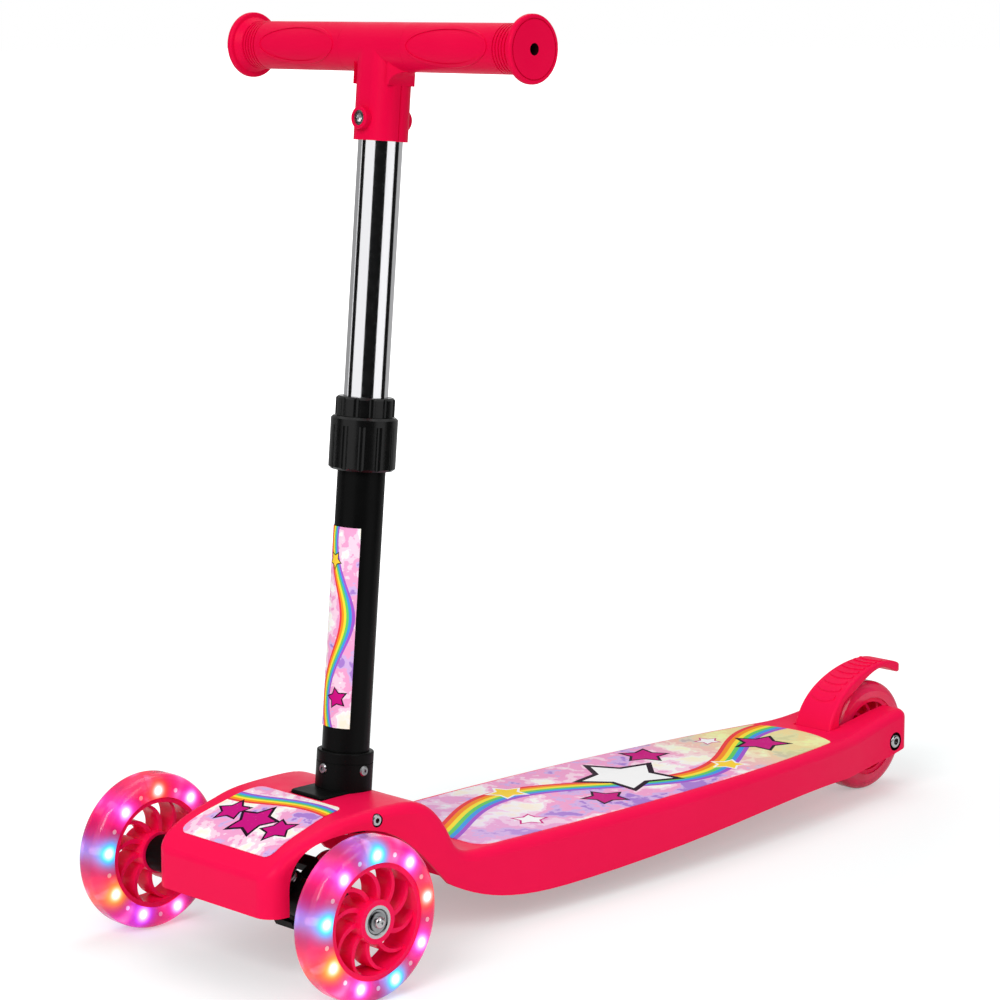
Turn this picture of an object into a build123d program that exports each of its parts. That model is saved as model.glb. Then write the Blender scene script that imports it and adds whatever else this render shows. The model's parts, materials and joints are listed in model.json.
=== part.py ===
from build123d import *
import math
import os

# Three-wheel child's kick scooter: lean-to-steer front truck, telescopic T-bar, rear foot brake.
# Millimetres, +Z up. The scooter drives towards -Y and the rider's left is +X.
# The pieces are drawn with the front axle at Y = 0 over the floor Z = 0, and are moved
# along Y at the end, so that the origin is the middle of the scooter's footprint.

# Wheels and their places
TRACK = 226.0
WHEELBASE = 650.0
FRONT_WHEEL_R = 55.0
REAR_WHEEL_R = 45.0
WHEEL_W = 24.0
TYRE_THICK = 16.0
REAR_TYRE_THICK = 13.0
TYRE_EDGE_R = 8.0
RIM_THICK = 3.5
RIM_INSET = 1.0
SPOKES = 10
SPOKE_SWEEP = 38.0
SPOKE_HUB_T = 3.4
SPOKE_RIM_T = 5.0
SPOKE_DEPTH = 15.0
HUB_WALL = 3.6
BEARING_R = 11.0
BEARING_W = 7.0
BEARING_RECESS = 0.7
AXLE_R = 4.0
LED_R = 2.5
LED_LENGTH = 8.0
LED_COUNT = 9
REAR_LED_COUNT = 6
SLEEVE_R = 6.2
AXLE_END = 4.0
CLIP_T = 1.0
WASHER_ROOM = 1.0
REAR_HEAD_H = 4.0
REAR_NUT_H = 5.0

# Clearances
FIT = 0.03
RUN = 0.4
SEAT = 0.1

# Deck and hood moulding
WALL = 3.0
HOOD_FRONT_Y = -37.0
HOOD_HALF_W = 61.0
HOOD_CORNER_R = 14.0
HOOD_BOTTOM_Z = 48.5
HOOD_NOSE_Z = 75.0
HOOD_TURN = (-22.0, 88.0)
HOOD_TURN_SLOPE = 31.0
HOOD_BROW = (10.0, 99.5)
HOOD_BROW_SLOPE = 20.0
HOOD_CREST_Y = 72.0
HOOD_CREST_Z = 106.0
HOOD_REAR_TOP = (106.0, 99.0)
HOOD_REAR_TOP_SLOPE = -31.0
HOOD_REAR_MID = (124.0, 78.0)
HOOD_REAR_MID_SLOPE = -57.0
HOOD_EDGE_R = 7.0
LEG_DEPTH = 17.0
ARCH_SPRING_Z = 64.0
ARCH_TOP = (34.0, 95.0)
ARCH_BACK = (80.0, 81.0)
ARCH_END = (121.0, 42.0)
DECK_START_Y = 150.0
DECK_TOP_Z = 60.0
DECK_HALF_W = 67.0
DECK_WIDE_Y = 165.0
DECK_REAR_HALF_W = 48.0
DECK_REAR_SETBACK = 75.0
DECK_REAR_Y = WHEELBASE - DECK_REAR_SETBACK
DECK_KEEL = (WHEELBASE * 0.39, 19.0)
DECK_KEEL_FRONT = (165.0, 25.0)
DECK_KEEL_REAR = (WHEELBASE * 0.615, 25.0)
DECK_TAIL_SETBACK = 73.0
DECK_TAIL = (WHEELBASE - DECK_TAIL_SETBACK, 29.0)
CAVITY_SETBACK = 90.0
CAVITY_END_Y = WHEELBASE - CAVITY_SETBACK
RIB_T = 2.4
RIB_DROP = 14.0
CROSS_RIBS = 5

# Rear fork
FORK_HALF_W = 38.0
FORK_GAP = 32.0
FORK_OVERHANG = 18.0
FORK_END_Y = WHEELBASE + FORK_OVERHANG
FORK_TOP_Z = 70.0
FORK_CORNER_R = 9.0
FORK_SLOT_SETBACK = 48.0
FORK_SLOT_Y = WHEELBASE - FORK_SLOT_SETBACK
FORK_BOSS_R = 11.0
FORK_WALL = 4.0
BOLT_SINK = 3.0
REAR_HEAD_R = 5.4
REAR_SEAT_R = 7.6

# Column
LEAN = 5.0
COLUMN_Y = 82.0
LOWER_TUBE_R = 16.5
UPPER_TUBE_R = 15.2
TUBE_WALL = 1.25
COLLAR_R = 19.7
COLLAR_TOP = 29.0
COLLAR_LINE = 8.0
COLLAR_LINE_W = 1.0
COLLAR_ROUND_R = 1.0
SOCKET_DEPTH = 26.0
SOCKET_FLOOR = 5.0
PLATE_HALF_W = 17.0
PLATE_FRONT = 35.0
PLATE_REAR = 9.0
PLATE_T = 4.5
PLATE_SINK = 2.5
LOCK_BOTTOM = 223.0
LOCK_NUT_H = 36.5
LOCK_NUT_R = 23.0
LOCK_HEAD_H = 13.0
LOCK_HEAD_R = 20.3
LOCK_LIP = 6.0
LOCK_FLUTES = 12
FLUTE_R = 3.2
COLLET_R = 19.0
BAR_HEIGHT = 509.0
STEM_LENGTH = 63.0
STEM_BOTTOM = BAR_HEIGHT - STEM_LENGTH
STEM_W = 35.0
STEM_D = 33.0
STEM_CORNER_R = 13.4
STEM_SEAM_W = 1.0
STEM_SEAM_DEPTH = 0.6
GUSSET_R = 9.0
GUSSET_HALF_D = 13.0
GUSSET_TIP_HALF_D = 3.0
STEM_SOCKET = 46.0
TUBE_HIDDEN = 78.0
BOLT_UP = 14.5
BOLT_BOSS = 5.0
BOLT_BOSS_R = 7.6
HANDLE_BOLT_R = 3.0
HANDLE_HEAD_R = 5.2
HANDLE_HEAD_H = 4.2

# Handlebar
BAR_HALF = 140.5
BAR_CORE_R = 12.0
GRIP_R = 16.6
GRIP_START = 31.0
GRIP_FLANGE_R = 22.6
GRIP_FLANGE_W = 9.0
GRIP_DISC_W = 4.5
GRIP_DISC_ROUND_R = 1.5
GRIP_NECK_R = 20.0
GRIP_RINGS = 5
GRIP_RING_W = 1.2
GRIP_RING_DEPTH = 0.9
GRIP_RING_PITCH = 2.8
GRIP_OVAL_START = 4.4
GRIP_OVAL_LENGTH = 78.0
GRIP_OVAL_W = 27.0
GRIP_OVAL_RAISE = 0.7
GRIP_OVAL_RIM = 2.0
END_HOLE_R = 3.8
END_HOLE_DEPTH = 8.0
END_LINE_R = 20.0
END_LINE_W = 0.9

# Steering truck, in a frame that is tilted with the kingpins
KINGPIN_TILT = 30.0
KINGPIN_X = 43.0
KINGPIN_R = 4.0
BARREL_R = 10.5
BARREL_HALF = 13.5
EAR_T = 6.5
EAR_HALF_D = 12.0
EAR_REACH = 10.0
SPRING_ROOM = 6.6
BEAM_HALF = 13.0
WEB_T = 8.0
STUB_R = 13.0
ARM_LENGTH = 34.0
ARM_T = 9.0
ARM_END_R = 7.5
TIE_PIN_R = 3.0
TIE_ROD_T = 7.0
TIE_ROD_W = 9.0
SADDLE_Z = 81.0
SADDLE_T = 5.0
SADDLE_HALF_W = 26.0
SADDLE_FRONT = -13.0
SADDLE_REAR = 26.0
TRUCK_SCREW_X = 15.0
TRUCK_SCREW_YS = (-7.0, 20.0)
TRUCK_BOSS_R = 4.5
TRUCK_SCREW_R = 2.0
TRUCK_SCREW_BITE = 5.0
KINGPIN_HEAD_H = 2.0
TIE_HEAD_H = 1.5

# Springs
STEER_WIRE_R = 0.8
STEER_COIL_R = 7.2
STEER_COIL_PITCH = 2.1
STEER_QUARTERS = 9
BRAKE_WIRE_R = 0.7
BRAKE_COIL_R = 4.6
BRAKE_COIL_PITCH = 2.0
BRAKE_QUARTERS = 14

# Foot brake
BRAKE_PIN_SETBACK = 56.0
BRAKE_PIN_Y = WHEELBASE - BRAKE_PIN_SETBACK
BRAKE_PIN_Z = 55.0
BRAKE_PIN_R = 2.5
BRAKE_BARREL_R = 6.0
BRAKE_BASE_HALF_W = 18.5
BRAKE_TIP_HALF_W = 12.0
BRAKE_TIP = (WHEELBASE + 41.0, 99.0)
BRAKE_CROWN = (WHEELBASE + 13.0, 105.5)
BRAKE_SHOULDER = (WHEELBASE - 41.0, 88.0)
BRAKE_THICK = 5.0
BRAKE_TIP_T = 7.0
BRAKE_ROUND_R = 2.8
BRAKE_EDGE_R = 2.0
BRAKE_BASE_DEPTH = 14.0
BRAKE_SPRING_GAP = 11.5
RIDGES = 9
RIDGE_PITCH = 7.5
RIDGE_W = 2.6
RIDGE_RAISE = 0.8
RIDGE_BOW_R = 26.0
PAD_T = 2.0
PAD_HALF_W = 9.0
PAD_FROM = 30.0
PAD_TO = 66.0

# Printed sheets
SHEET_T = 0.4
SHEET_GLUE = 0.2
DECK_SHEET_MARGIN = 9.0
DECK_SHEET_START = 158.0
DECK_SHEET_SETBACK = 76.0
DECK_SHEET_END = WHEELBASE - DECK_SHEET_SETBACK
DECK_SHEET_NOSE_R = 14.0
DECK_SHEET_BOW = 34.0
DECK_SHEET_TAIL_R = 6.0
HOOD_SHEET_FRONT = -25.0
HOOD_SHEET_REAR = 44.0
HOOD_SHEET_FRONT_HALF_W = 47.0
HOOD_SHEET_REAR_HALF_W = 42.0
HOOD_SHEET_CORNER_R = 6.0
TUBE_SHEET_BOTTOM = 46.0
TUBE_SHEET_TOP = 184.0
TUBE_SHEET_HALF_ANGLE = 54.0

# Screws
SCREW_HEAD_R = 2.8
COLLAR_HEAD_R = 3.6
SIDE_HEAD_R = 4.1
SCREW_HEAD_H = 1.6
SCREW_SHANK_R = 1.7
SIDE_SCREW_Y = 57.0
SIDE_SCREW_Z = 99.0
COLLAR_SCREW_S = 17.0
COLLAR_SCREW_SINK = 0.6
SOCKET_SHARE = 0.48

# Worked out from the above
AXLE_Z = FRONT_WHEEL_R
REAR_AXLE_Z = REAR_WHEEL_R
WHEEL_X = TRACK / 2
HUB_IN_X = WHEEL_X - WHEEL_W / 2
HUB_OUT_X = WHEEL_X + WHEEL_W / 2
Y_MID = (WHEELBASE + REAR_WHEEL_R - FRONT_WHEEL_R) / 2
COLUMN_Z = HOOD_CREST_Z - PLATE_SINK


def tilted(part):
    """Moves a part from the kingpins' own frame to the scooter's."""
    return Pos(0, 0, AXLE_Z) * Rot(X=KINGPIN_TILT) * part


def on_column(part):
    """Moves a part from the column's frame, Z along the tube, to the scooter's."""
    return Pos(0, COLUMN_Y, COLUMN_Z) * Rot(X=-LEAN) * part


def block(x0, x1, y0, y1, z0, z1):
    """A box between two corners."""
    centre = Pos((x0 + x1) / 2, (y0 + y1) / 2, (z0 + z1) / 2)
    return centre * Box(x1 - x0, y1 - y0, z1 - z0)


def across(face, half):
    """Extrudes a face drawn in Y and Z along X, to both sides of the middle."""
    return extrude(Plane.YZ.offset(-half) * face, 2 * half)


def rod(radius, x0, x1):
    """A cylinder along X."""
    return Pos((x0 + x1) / 2, 0, 0) * Rot(Y=90) * Cylinder(radius, x1 - x0)


def tube_x(outer, inner, x0, x1):
    """A plain sleeve along X."""
    return rod(outer, x0, x1) - rod(inner, x0 - 1, x1 + 1)


def post(radius, z0, z1):
    """A cylinder along Z."""
    return Pos(0, 0, (z0 + z1) / 2) * Cylinder(radius, z1 - z0)


def coil(mean_r, pitch, quarters):
    """The centre line of a coil about Z, one arc to each quarter turn."""
    def at(quarter):
        turn = math.pi / 2 * quarter
        return (mean_r * math.cos(turn), mean_r * math.sin(turn), pitch * quarter / 4)

    return Wire([ThreePointArc(at(q), at(q + 0.5), at(q + 1)).edge() for q in range(quarters)])


def wire_spring(mean_r, pitch, quarters, wire_r):
    """A coil of round wire."""
    line = coil(mean_r, pitch, quarters)
    section = Plane(line @ 0, z_dir=line % 0) * Circle(wire_r)
    return sweep(section, path=line)


def least_gap(mean_r, pitch, quarters, wire_r):
    """The least gap between the turns of a coil, measured on points of its centre line."""
    line = coil(mean_r, pitch, quarters)
    steps = quarters * 8
    points = [line @ (i / steps) for i in range(steps + 1)]
    half_turn = 16
    near = min(
        (points[i] - points[j]).length
        for i in range(steps + 1)
        for j in range(i + half_turn, steps + 1)
    )
    return near - 2 * wire_r


def screw(length, head_r):
    """A small button-head screw along Z, head up, seated at Z = 0."""
    head = post(head_r, 0, SCREW_HEAD_H)
    head = chamfer(head.edges().group_by(Axis.Z)[-1], SCREW_HEAD_H * 0.5)
    dimple = extrude(RegularPolygon(head_r * SOCKET_SHARE, 6), -SCREW_HEAD_H * 0.6)
    dimple = Pos(0, 0, SCREW_HEAD_H) * dimple
    return head + post(SCREW_SHANK_R, -length, 0) - dimple


# Wheels, drawn about the X axis with their outer face towards +X
def tyre(radius, thick, leds):
    """A clear cast tyre, with a pocket for each light on its bore."""
    bore = radius - thick
    section = Pos(0, bore + thick / 2) * Rectangle(WHEEL_W, thick)
    section = fillet(section.vertices().group_by(Axis.Y)[-1], TYRE_EDGE_R)
    ring = revolve(section, Axis.X)
    pocket = post(LED_R + SEAT, bore - 1, bore + LED_LENGTH + SEAT)
    return ring - [Rot(X=360 / leds * i) * pocket for i in range(leds)]


def lights(radius, thick, leds):
    """The light modules, standing on the rim inside the tyre."""
    bore = radius - thick
    lamp = post(LED_R, bore, bore + LED_LENGTH)
    lamp = chamfer(lamp.edges().group_by(Axis.Z)[-1], LED_R * 0.4)
    foot = block(-LED_R, LED_R, -LED_R, LED_R, bore - RIM_INSET, bore + LED_R)
    lamp = lamp & (foot + post(LED_R * 2, bore + FIT, bore + LED_LENGTH))
    return Compound([Rot(X=360 / leds * i) * lamp for i in range(leds)])


def spoke(hub_r, rim_r):
    """One swirled spoke: a band between two arcs, thicker at the rim."""
    def at(radius, turn, side, thick):
        angle = math.radians(turn) + side * thick / 2 / radius
        return (radius * math.cos(angle), radius * math.sin(angle))

    mid_r = (hub_r + rim_r) / 2
    mid_turn = SPOKE_SWEEP * 0.28
    mid_t = (SPOKE_HUB_T + SPOKE_RIM_T) / 2 * 0.8
    inner = [at(hub_r, 0, s, SPOKE_HUB_T) for s in (-1, 1)]
    middle = [at(mid_r, mid_turn, s, mid_t) for s in (-1, 1)]
    outer = [at(rim_r, SPOKE_SWEEP, s, SPOKE_RIM_T) for s in (-1, 1)]
    edges = [
        ThreePointArc(inner[0], middle[0], outer[0]),
        Line(outer[0], outer[1]),
        ThreePointArc(outer[1], middle[1], inner[1]),
        Line(inner[1], inner[0]),
    ]
    face = make_face([e.edge() for e in edges])
    return across(face, SPOKE_DEPTH / 2)


def core(radius, thick):
    """The moulded wheel centre: hub with two bearing seats, swirled spokes and rim."""
    rim_out = radius - thick - FIT
    rim_in = rim_out - RIM_THICK
    hub_r = BEARING_R + HUB_WALL
    rim_half = WHEEL_W / 2 - RIM_INSET
    rim = tube_x(rim_out, rim_in, -rim_half, rim_half)
    hub = rod(hub_r, -WHEEL_W / 2, WHEEL_W / 2)
    one = spoke(hub_r - 1, rim_in + RIM_THICK / 2)
    centre = hub + rim + [Rot(X=360 / SPOKES * i) * one for i in range(SPOKES)]
    seat = rod(BEARING_R + FIT, 0, BEARING_W + 1)
    outer_seat = Pos(WHEEL_W / 2 - BEARING_W, 0, 0) * seat
    inner_seat = Pos(-WHEEL_W / 2 - 1, 0, 0) * seat
    return centre - rod(BEARING_R - 2, -WHEEL_W, WHEEL_W) - outer_seat - inner_seat


def bearing():
    """A ball bearing with its shields set back, from X = 0 inwards to -BEARING_W."""
    ring = tube_x(BEARING_R, AXLE_R + FIT, -BEARING_W, 0)
    shield = tube_x(BEARING_R - 2, AXLE_R + 2, 0, BEARING_RECESS)
    return ring - Pos(-BEARING_RECESS, 0, 0) * shield - Pos(-BEARING_W, 0, 0) * shield


def bearings():
    """Both bearings of one wheel."""
    half = WHEEL_W / 2
    return Compound([Pos(x, 0, 0) * bearing() for x in (half, BEARING_W - half)])


def magnet_sleeve():
    """The sleeve between the bearings, with the magnets that drive the lights."""
    half = WHEEL_W / 2 - BEARING_W
    return tube_x(SLEEVE_R, AXLE_R + FIT, -half, half)


# Deck and hood
def inside(point, slope, depth):
    """A point of the upper outline moved square into the moulding; its slope is in degrees."""
    turn = math.radians(slope)
    return (point[0] + depth * math.sin(turn), point[1] - depth * math.cos(turn))


def body_top(depth):
    """The upper outline in Y and Z, from the nose to the fork's rear end, drawn in by a depth."""
    nose_foot = (HOOD_FRONT_Y + depth, HOOD_BOTTOM_Z)
    nose_top = (HOOD_FRONT_Y + depth, HOOD_NOSE_Z - depth * 0.5)
    turn = inside(HOOD_TURN, HOOD_TURN_SLOPE, depth)
    brow = inside(HOOD_BROW, HOOD_BROW_SLOPE, depth)
    crest = inside((HOOD_CREST_Y, HOOD_CREST_Z), 0, depth)
    rear_top = inside(HOOD_REAR_TOP, HOOD_REAR_TOP_SLOPE, depth)
    rear_mid = inside(HOOD_REAR_MID, HOOD_REAR_MID_SLOPE, depth)
    deck_front = (DECK_START_Y, DECK_TOP_Z - depth)
    deck_rear = (DECK_REAR_Y, DECK_TOP_Z - depth)
    fork_top = (FORK_END_Y, FORK_TOP_Z - depth)
    edges = [
        Line(nose_foot, nose_top),
        Spline([nose_top, turn, brow, crest], tangents=[(1, 1.1), (1, 0)]),
        Spline([crest, rear_top, rear_mid, deck_front], tangents=[(1, 0), (1, 0)]),
        Line(deck_front, deck_rear),
        Spline([deck_rear, fork_top], tangents=[(1, 0), (1, 0.02)]),
    ]
    return [e.edge() for e in edges]


def body_side():
    """The whole side outline, with the arch that the front axle comes through."""
    leg = HOOD_FRONT_Y + LEG_DEPTH
    fork_back = (FORK_END_Y, FORK_TOP_Z)
    fork_foot = (FORK_END_Y, REAR_AXLE_Z - FORK_BOSS_R * 0.6)
    boss_low = (WHEELBASE - FORK_BOSS_R * 0.4, REAR_AXLE_Z - FORK_BOSS_R)
    below = [
        Line(fork_back, fork_foot),
        Line(fork_foot, boss_low),
        Spline([boss_low, DECK_TAIL], tangents=[(-1, -0.1), (-1, -0.03)]),
        Spline([DECK_TAIL, DECK_KEEL_REAR, DECK_KEEL, DECK_KEEL_FRONT, ARCH_END]),
        Spline([ARCH_END, ARCH_BACK, ARCH_TOP], tangents=[(-0.7, 0.72), (-1, 0)]),
        Spline([ARCH_TOP, (leg, ARCH_SPRING_Z)], tangents=[(-1, 0), (0, -1)]),
        Line((leg, ARCH_SPRING_Z), (leg, HOOD_BOTTOM_Z)),
        Line((leg, HOOD_BOTTOM_Z), (HOOD_FRONT_Y, HOOD_BOTTOM_Z)),
    ]
    return make_face(body_top(0) + [e.edge() for e in below])


def body_plan(inset):
    """The outline from above, drawn in by the given amount."""
    front = HOOD_FRONT_Y + inset
    corner = HOOD_CORNER_R - inset
    side = HOOD_HALF_W - inset
    end = FORK_END_Y - inset
    fork = FORK_HALF_W - inset
    half = [
        Line((0, front), (side - corner, front)),
        RadiusArc((side - corner, front), (side, front + corner), -corner),
        Spline(
            [
                (side, front + corner),
                (DECK_HALF_W - inset, DECK_WIDE_Y),
                (DECK_REAR_HALF_W - inset, DECK_REAR_Y),
                (fork, end - FORK_CORNER_R),
            ],
            tangents=[(0, 1), (0, 1)],
        ),
        RadiusArc((fork, end - FORK_CORNER_R), (fork - FORK_CORNER_R, end), -FORK_CORNER_R),
        Line((fork - FORK_CORNER_R, end), (0, end)),
    ]
    edges = [e.edge() for e in half]
    return make_face(edges + [e.mirror(Plane.YZ) for e in edges])


def cavity():
    """The hollow underside, open below."""
    reach = DECK_HALF_W * 2
    inner = across(under_top(WALL), reach)
    inner &= extrude(body_plan(WALL), HOOD_CREST_Z * 2)
    return inner & block(-reach, reach, HOOD_FRONT_Y, CAVITY_END_Y, -1, HOOD_CREST_Z)


def under_top(depth):
    """All that lies under the upper outline drawn in by a depth."""
    low = -4 * WALL
    front = HOOD_FRONT_Y + depth
    close = [
        Line((FORK_END_Y, FORK_TOP_Z - depth), (FORK_END_Y, low)),
        Line((FORK_END_Y, low), (front, low)),
        Line((front, low), (front, HOOD_BOTTOM_Z)),
    ]
    return make_face(body_top(depth) + [e.edge() for e in close])


def deck_ribs():
    """Stiffening ribs under the deck, and the wall behind the front arch."""
    first = ARCH_END[0] + 3 * WALL
    span = CAVITY_END_Y - first
    low = DECK_TOP_Z - WALL - RIB_DROP
    reach = DECK_HALF_W
    ribs = [block(-RIB_T / 2, RIB_T / 2, first, CAVITY_END_Y, low, HOOD_CREST_Z)]
    ribs += [
        block(-reach, reach, y - RIB_T / 2, y + RIB_T / 2, low, HOOD_CREST_Z)
        for y in [first + span * (i + 1) / (CROSS_RIBS + 1) for i in range(CROSS_RIBS)]
    ]
    ribs.append(block(-reach, reach, first, first + RIB_T, ARCH_END[1], HOOD_CREST_Z))
    return ribs


def truck_screw_places():
    """Where the truck is screwed to the hood."""
    return [(x, y) for x in (-TRUCK_SCREW_X, TRUCK_SCREW_X) for y in TRUCK_SCREW_YS]


def truck_bosses():
    """The posts under the hood's roof that the truck is screwed to."""
    under_roof = across(under_top(WALL / 2), HOOD_HALF_W)
    bosses = [Pos(x, y, 0) * post(TRUCK_BOSS_R, SADDLE_Z, HOOD_CREST_Z) for x, y in truck_screw_places()]
    return [boss & under_roof for boss in bosses]


def socket_hole():
    """The way through the hood for the column socket, with the sunk seat of its plate."""
    through = on_column(post(COLLAR_R + SEAT, -SOCKET_DEPTH * 2, COLLAR_TOP))
    seat = block(
        -PLATE_HALF_W - SEAT, PLATE_HALF_W + SEAT,
        COLUMN_Y - PLATE_FRONT - SEAT, COLUMN_Y + PLATE_REAR + SEAT,
        COLUMN_Z, COLUMN_Z + PLATE_T + PLATE_SINK,
    )
    return [through, seat]


def seat_pad():
    """Thicker roof under the socket plate."""
    return block(
        -PLATE_HALF_W - WALL, PLATE_HALF_W + WALL,
        COLUMN_Y - PLATE_FRONT - WALL, COLUMN_Y + PLATE_REAR,
        COLUMN_Z - 2 * WALL, HOOD_CREST_Z,
    )


def fork_cuts():
    """The rear wheel's slot, the brake's recess, the hollow arms and the axle and pin holes."""
    half = FORK_GAP / 2
    base = BRAKE_BASE_HALF_W + RUN
    room = BRAKE_BARREL_R + 2 * RUN
    pin_reach = base + 2 * WALL
    axle = Pos(0, WHEELBASE, REAR_AXLE_Z)
    cuts = [
        block(-half, half, FORK_SLOT_Y, FORK_END_Y + 1, -1, HOOD_CREST_Z),
        block(-base, base, BRAKE_PIN_Y - room, FORK_SLOT_Y + 1, BRAKE_PIN_Z - room, HOOD_CREST_Z),
        axle * rod(AXLE_R + FIT, -DECK_HALF_W, DECK_HALF_W),
        Pos(0, BRAKE_PIN_Y, BRAKE_PIN_Z) * rod(BRAKE_PIN_R + FIT, -pin_reach, pin_reach),
    ]
    for side in (-1, 1):
        sink = rod(REAR_SEAT_R, 0, BOLT_SINK * 4)
        cuts.append(axle * Pos(side * (FORK_HALF_W + BOLT_SINK) - BOLT_SINK * 2, 0, 0) * sink)
        inner = sorted([side * (half + FORK_WALL), side * (FORK_HALF_W - FORK_WALL)])
        cuts.append(block(
            inner[0], inner[1], FORK_SLOT_Y + FORK_WALL, WHEELBASE - FORK_BOSS_R - FORK_WALL,
            -1, DECK_TOP_Z - FORK_WALL,
        ))
    return cuts


def is_rim(edge, upper):
    """Whether only one of the upper faces has this edge, so that it runs round the top."""
    return sum(edge in f.edges() for f in upper) == 1


def rounded_body():
    """The outer form of the moulding: side outline crossed with plan outline, edges rounded."""
    form = across(body_side(), DECK_HALF_W * 1.5)
    form &= extrude(body_plan(0), HOOD_CREST_Z * 2)
    upper = [f for f in form.faces() if f.normal_at().Z > 0.3]
    rim = [e for f in upper for e in f.edges() if is_rim(e, upper)]
    return fillet(rim, HOOD_EDGE_R)


def deck_body():
    """Hood, deck and rear fork in one moulding."""
    body = rounded_body()
    body -= cavity() - deck_ribs() - seat_pad()
    body += truck_bosses()
    body -= fork_cuts()
    body -= socket_hole()
    body -= side_screw_seats()
    for x, y in truck_screw_places():
        body -= Pos(x, y, 0) * post(TRUCK_SCREW_R, SADDLE_Z - 1, SADDLE_Z + TRUCK_SCREW_BITE + RUN)
    return body


# Printed sheets
def deck_sheet():
    """The printed sheet on the deck: its sides follow the deck, its rear edge is bowed."""
    wide = DECK_HALF_W
    front = DECK_SHEET_START
    shoulder = DECK_SHEET_END - DECK_SHEET_BOW
    window = make_face([
        Line((-wide, front), (wide, front)).edge(),
        Line((wide, front), (wide, shoulder)).edge(),
        ThreePointArc((wide, shoulder), (0, DECK_SHEET_END), (-wide, shoulder)).edge(),
        Line((-wide, shoulder), (-wide, front)).edge(),
    ])
    outline = body_plan(DECK_SHEET_MARGIN) & window
    outline = fillet(outline.vertices().group_by(Axis.Y)[0], DECK_SHEET_NOSE_R)
    outline = fillet(outline.vertices().group_by(Axis.Y)[-1], DECK_SHEET_TAIL_R)
    return Pos(0, 0, DECK_TOP_Z) * extrude(outline, SHEET_T)


def hood_sheet():
    """The printed sheet on the hood, following its crown."""
    reach = HOOD_HALF_W
    skin = across(under_top(-SHEET_GLUE - SHEET_T), reach) - across(under_top(-SHEET_GLUE), reach + 1)
    front = HOOD_SHEET_FRONT
    rear = HOOD_SHEET_REAR
    outline = Polygon(
        (-HOOD_SHEET_FRONT_HALF_W, front), (HOOD_SHEET_FRONT_HALF_W, front),
        (HOOD_SHEET_REAR_HALF_W, rear), (-HOOD_SHEET_REAR_HALF_W, rear), align=None,
    )
    outline = fillet(outline.vertices(), HOOD_SHEET_CORNER_R)
    return skin & Pos(0, 0, HOOD_BOTTOM_Z) * extrude(outline, HOOD_CREST_Z)


def tube_sheet():
    """The printed sheet wrapped round the front of the lower tube."""
    length = TUBE_SHEET_TOP - TUBE_SHEET_BOTTOM
    inner = LOWER_TUBE_R + SHEET_GLUE
    ring = post(inner + SHEET_T, 0, length) - post(inner, -1, length + 1)
    wide = LOWER_TUBE_R * 4
    turn = math.radians(TUBE_SHEET_HALF_ANGLE)
    edge = (wide * math.sin(turn), -wide * math.cos(turn))
    wedge = make_face(Polyline((0, 0), edge, (0, -2 * wide), (-edge[0], edge[1]), close=True))
    sheet = ring & extrude(wedge, length)
    return on_column(Pos(0, 0, TUBE_SHEET_BOTTOM) * sheet)


# Column
def column_socket():
    """The black foot of the column: plate on the hood, collar above it and spigot below."""
    plate = Rectangle(2 * PLATE_HALF_W, PLATE_FRONT + PLATE_REAR)
    plate = fillet(plate.vertices(), PLATE_T)
    plate = extrude(Pos(0, (PLATE_REAR - PLATE_FRONT) / 2) * plate, PLATE_T)
    plate = fillet(plate.edges().group_by(Axis.Z)[-1], PLATE_T * 0.4)
    foot = Pos(0, COLUMN_Y, COLUMN_Z) * plate
    foot += on_column(collar())
    bore = post(LOWER_TUBE_R + FIT, SOCKET_FLOOR - SOCKET_DEPTH, COLLAR_TOP + 1)
    foot -= on_column(bore)
    foot -= on_column(post(AXLE_R + FIT, -SOCKET_DEPTH - 1, 0))
    for turn in collar_turns():
        foot -= on_column(Rot(Z=turn) * collar_screw_hole())
    return foot


def collar():
    """The round body of the socket, with a line round it under its lip."""
    body = post(COLLAR_R, -SOCKET_DEPTH, COLLAR_TOP)
    body = fillet(body.edges().group_by(Axis.Z)[-1], COLLAR_ROUND_R)
    line = COLLAR_TOP - COLLAR_LINE
    groove = post(COLLAR_R + 1, line, line + COLLAR_LINE_W)
    return body - groove + post(COLLAR_R - COLLAR_LINE_W / 2, line, line + COLLAR_LINE_W)


def collar_turns():
    """The directions of the four collar screws."""
    return [90 * i for i in range(4)]


def collar_screw_hole():
    """A radial hole for a collar screw, with a flat seat for its head."""
    reach = COLLAR_R + SCREW_HEAD_H
    hole = rod(SCREW_SHANK_R + FIT, 0, reach)
    hole += rod(COLLAR_HEAD_R + SEAT, COLLAR_R - COLLAR_SCREW_SINK, reach)
    return Pos(0, 0, COLLAR_SCREW_S) * hole


def collar_screws():
    """Four screws that hold the tube in the collar."""
    seat = COLLAR_R - COLLAR_SCREW_SINK
    length = seat - (LOWER_TUBE_R - TUBE_WALL) - SEAT
    one = Pos(seat, 0, COLLAR_SCREW_S) * Rot(Y=90) * screw(length, COLLAR_HEAD_R)
    return Compound([on_column(Rot(Z=turn) * one) for turn in collar_turns()])


def column_bolt():
    """The bolt up through the socket's floor."""
    low = -SOCKET_DEPTH
    head = Pos(0, 0, low - AXLE_R) * extrude(RegularPolygon(AXLE_R * 1.7, 6), AXLE_R)
    bolt = head + post(AXLE_R, low - AXLE_R, low + SOCKET_FLOOR + AXLE_R * 2)
    return on_column(bolt)


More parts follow.
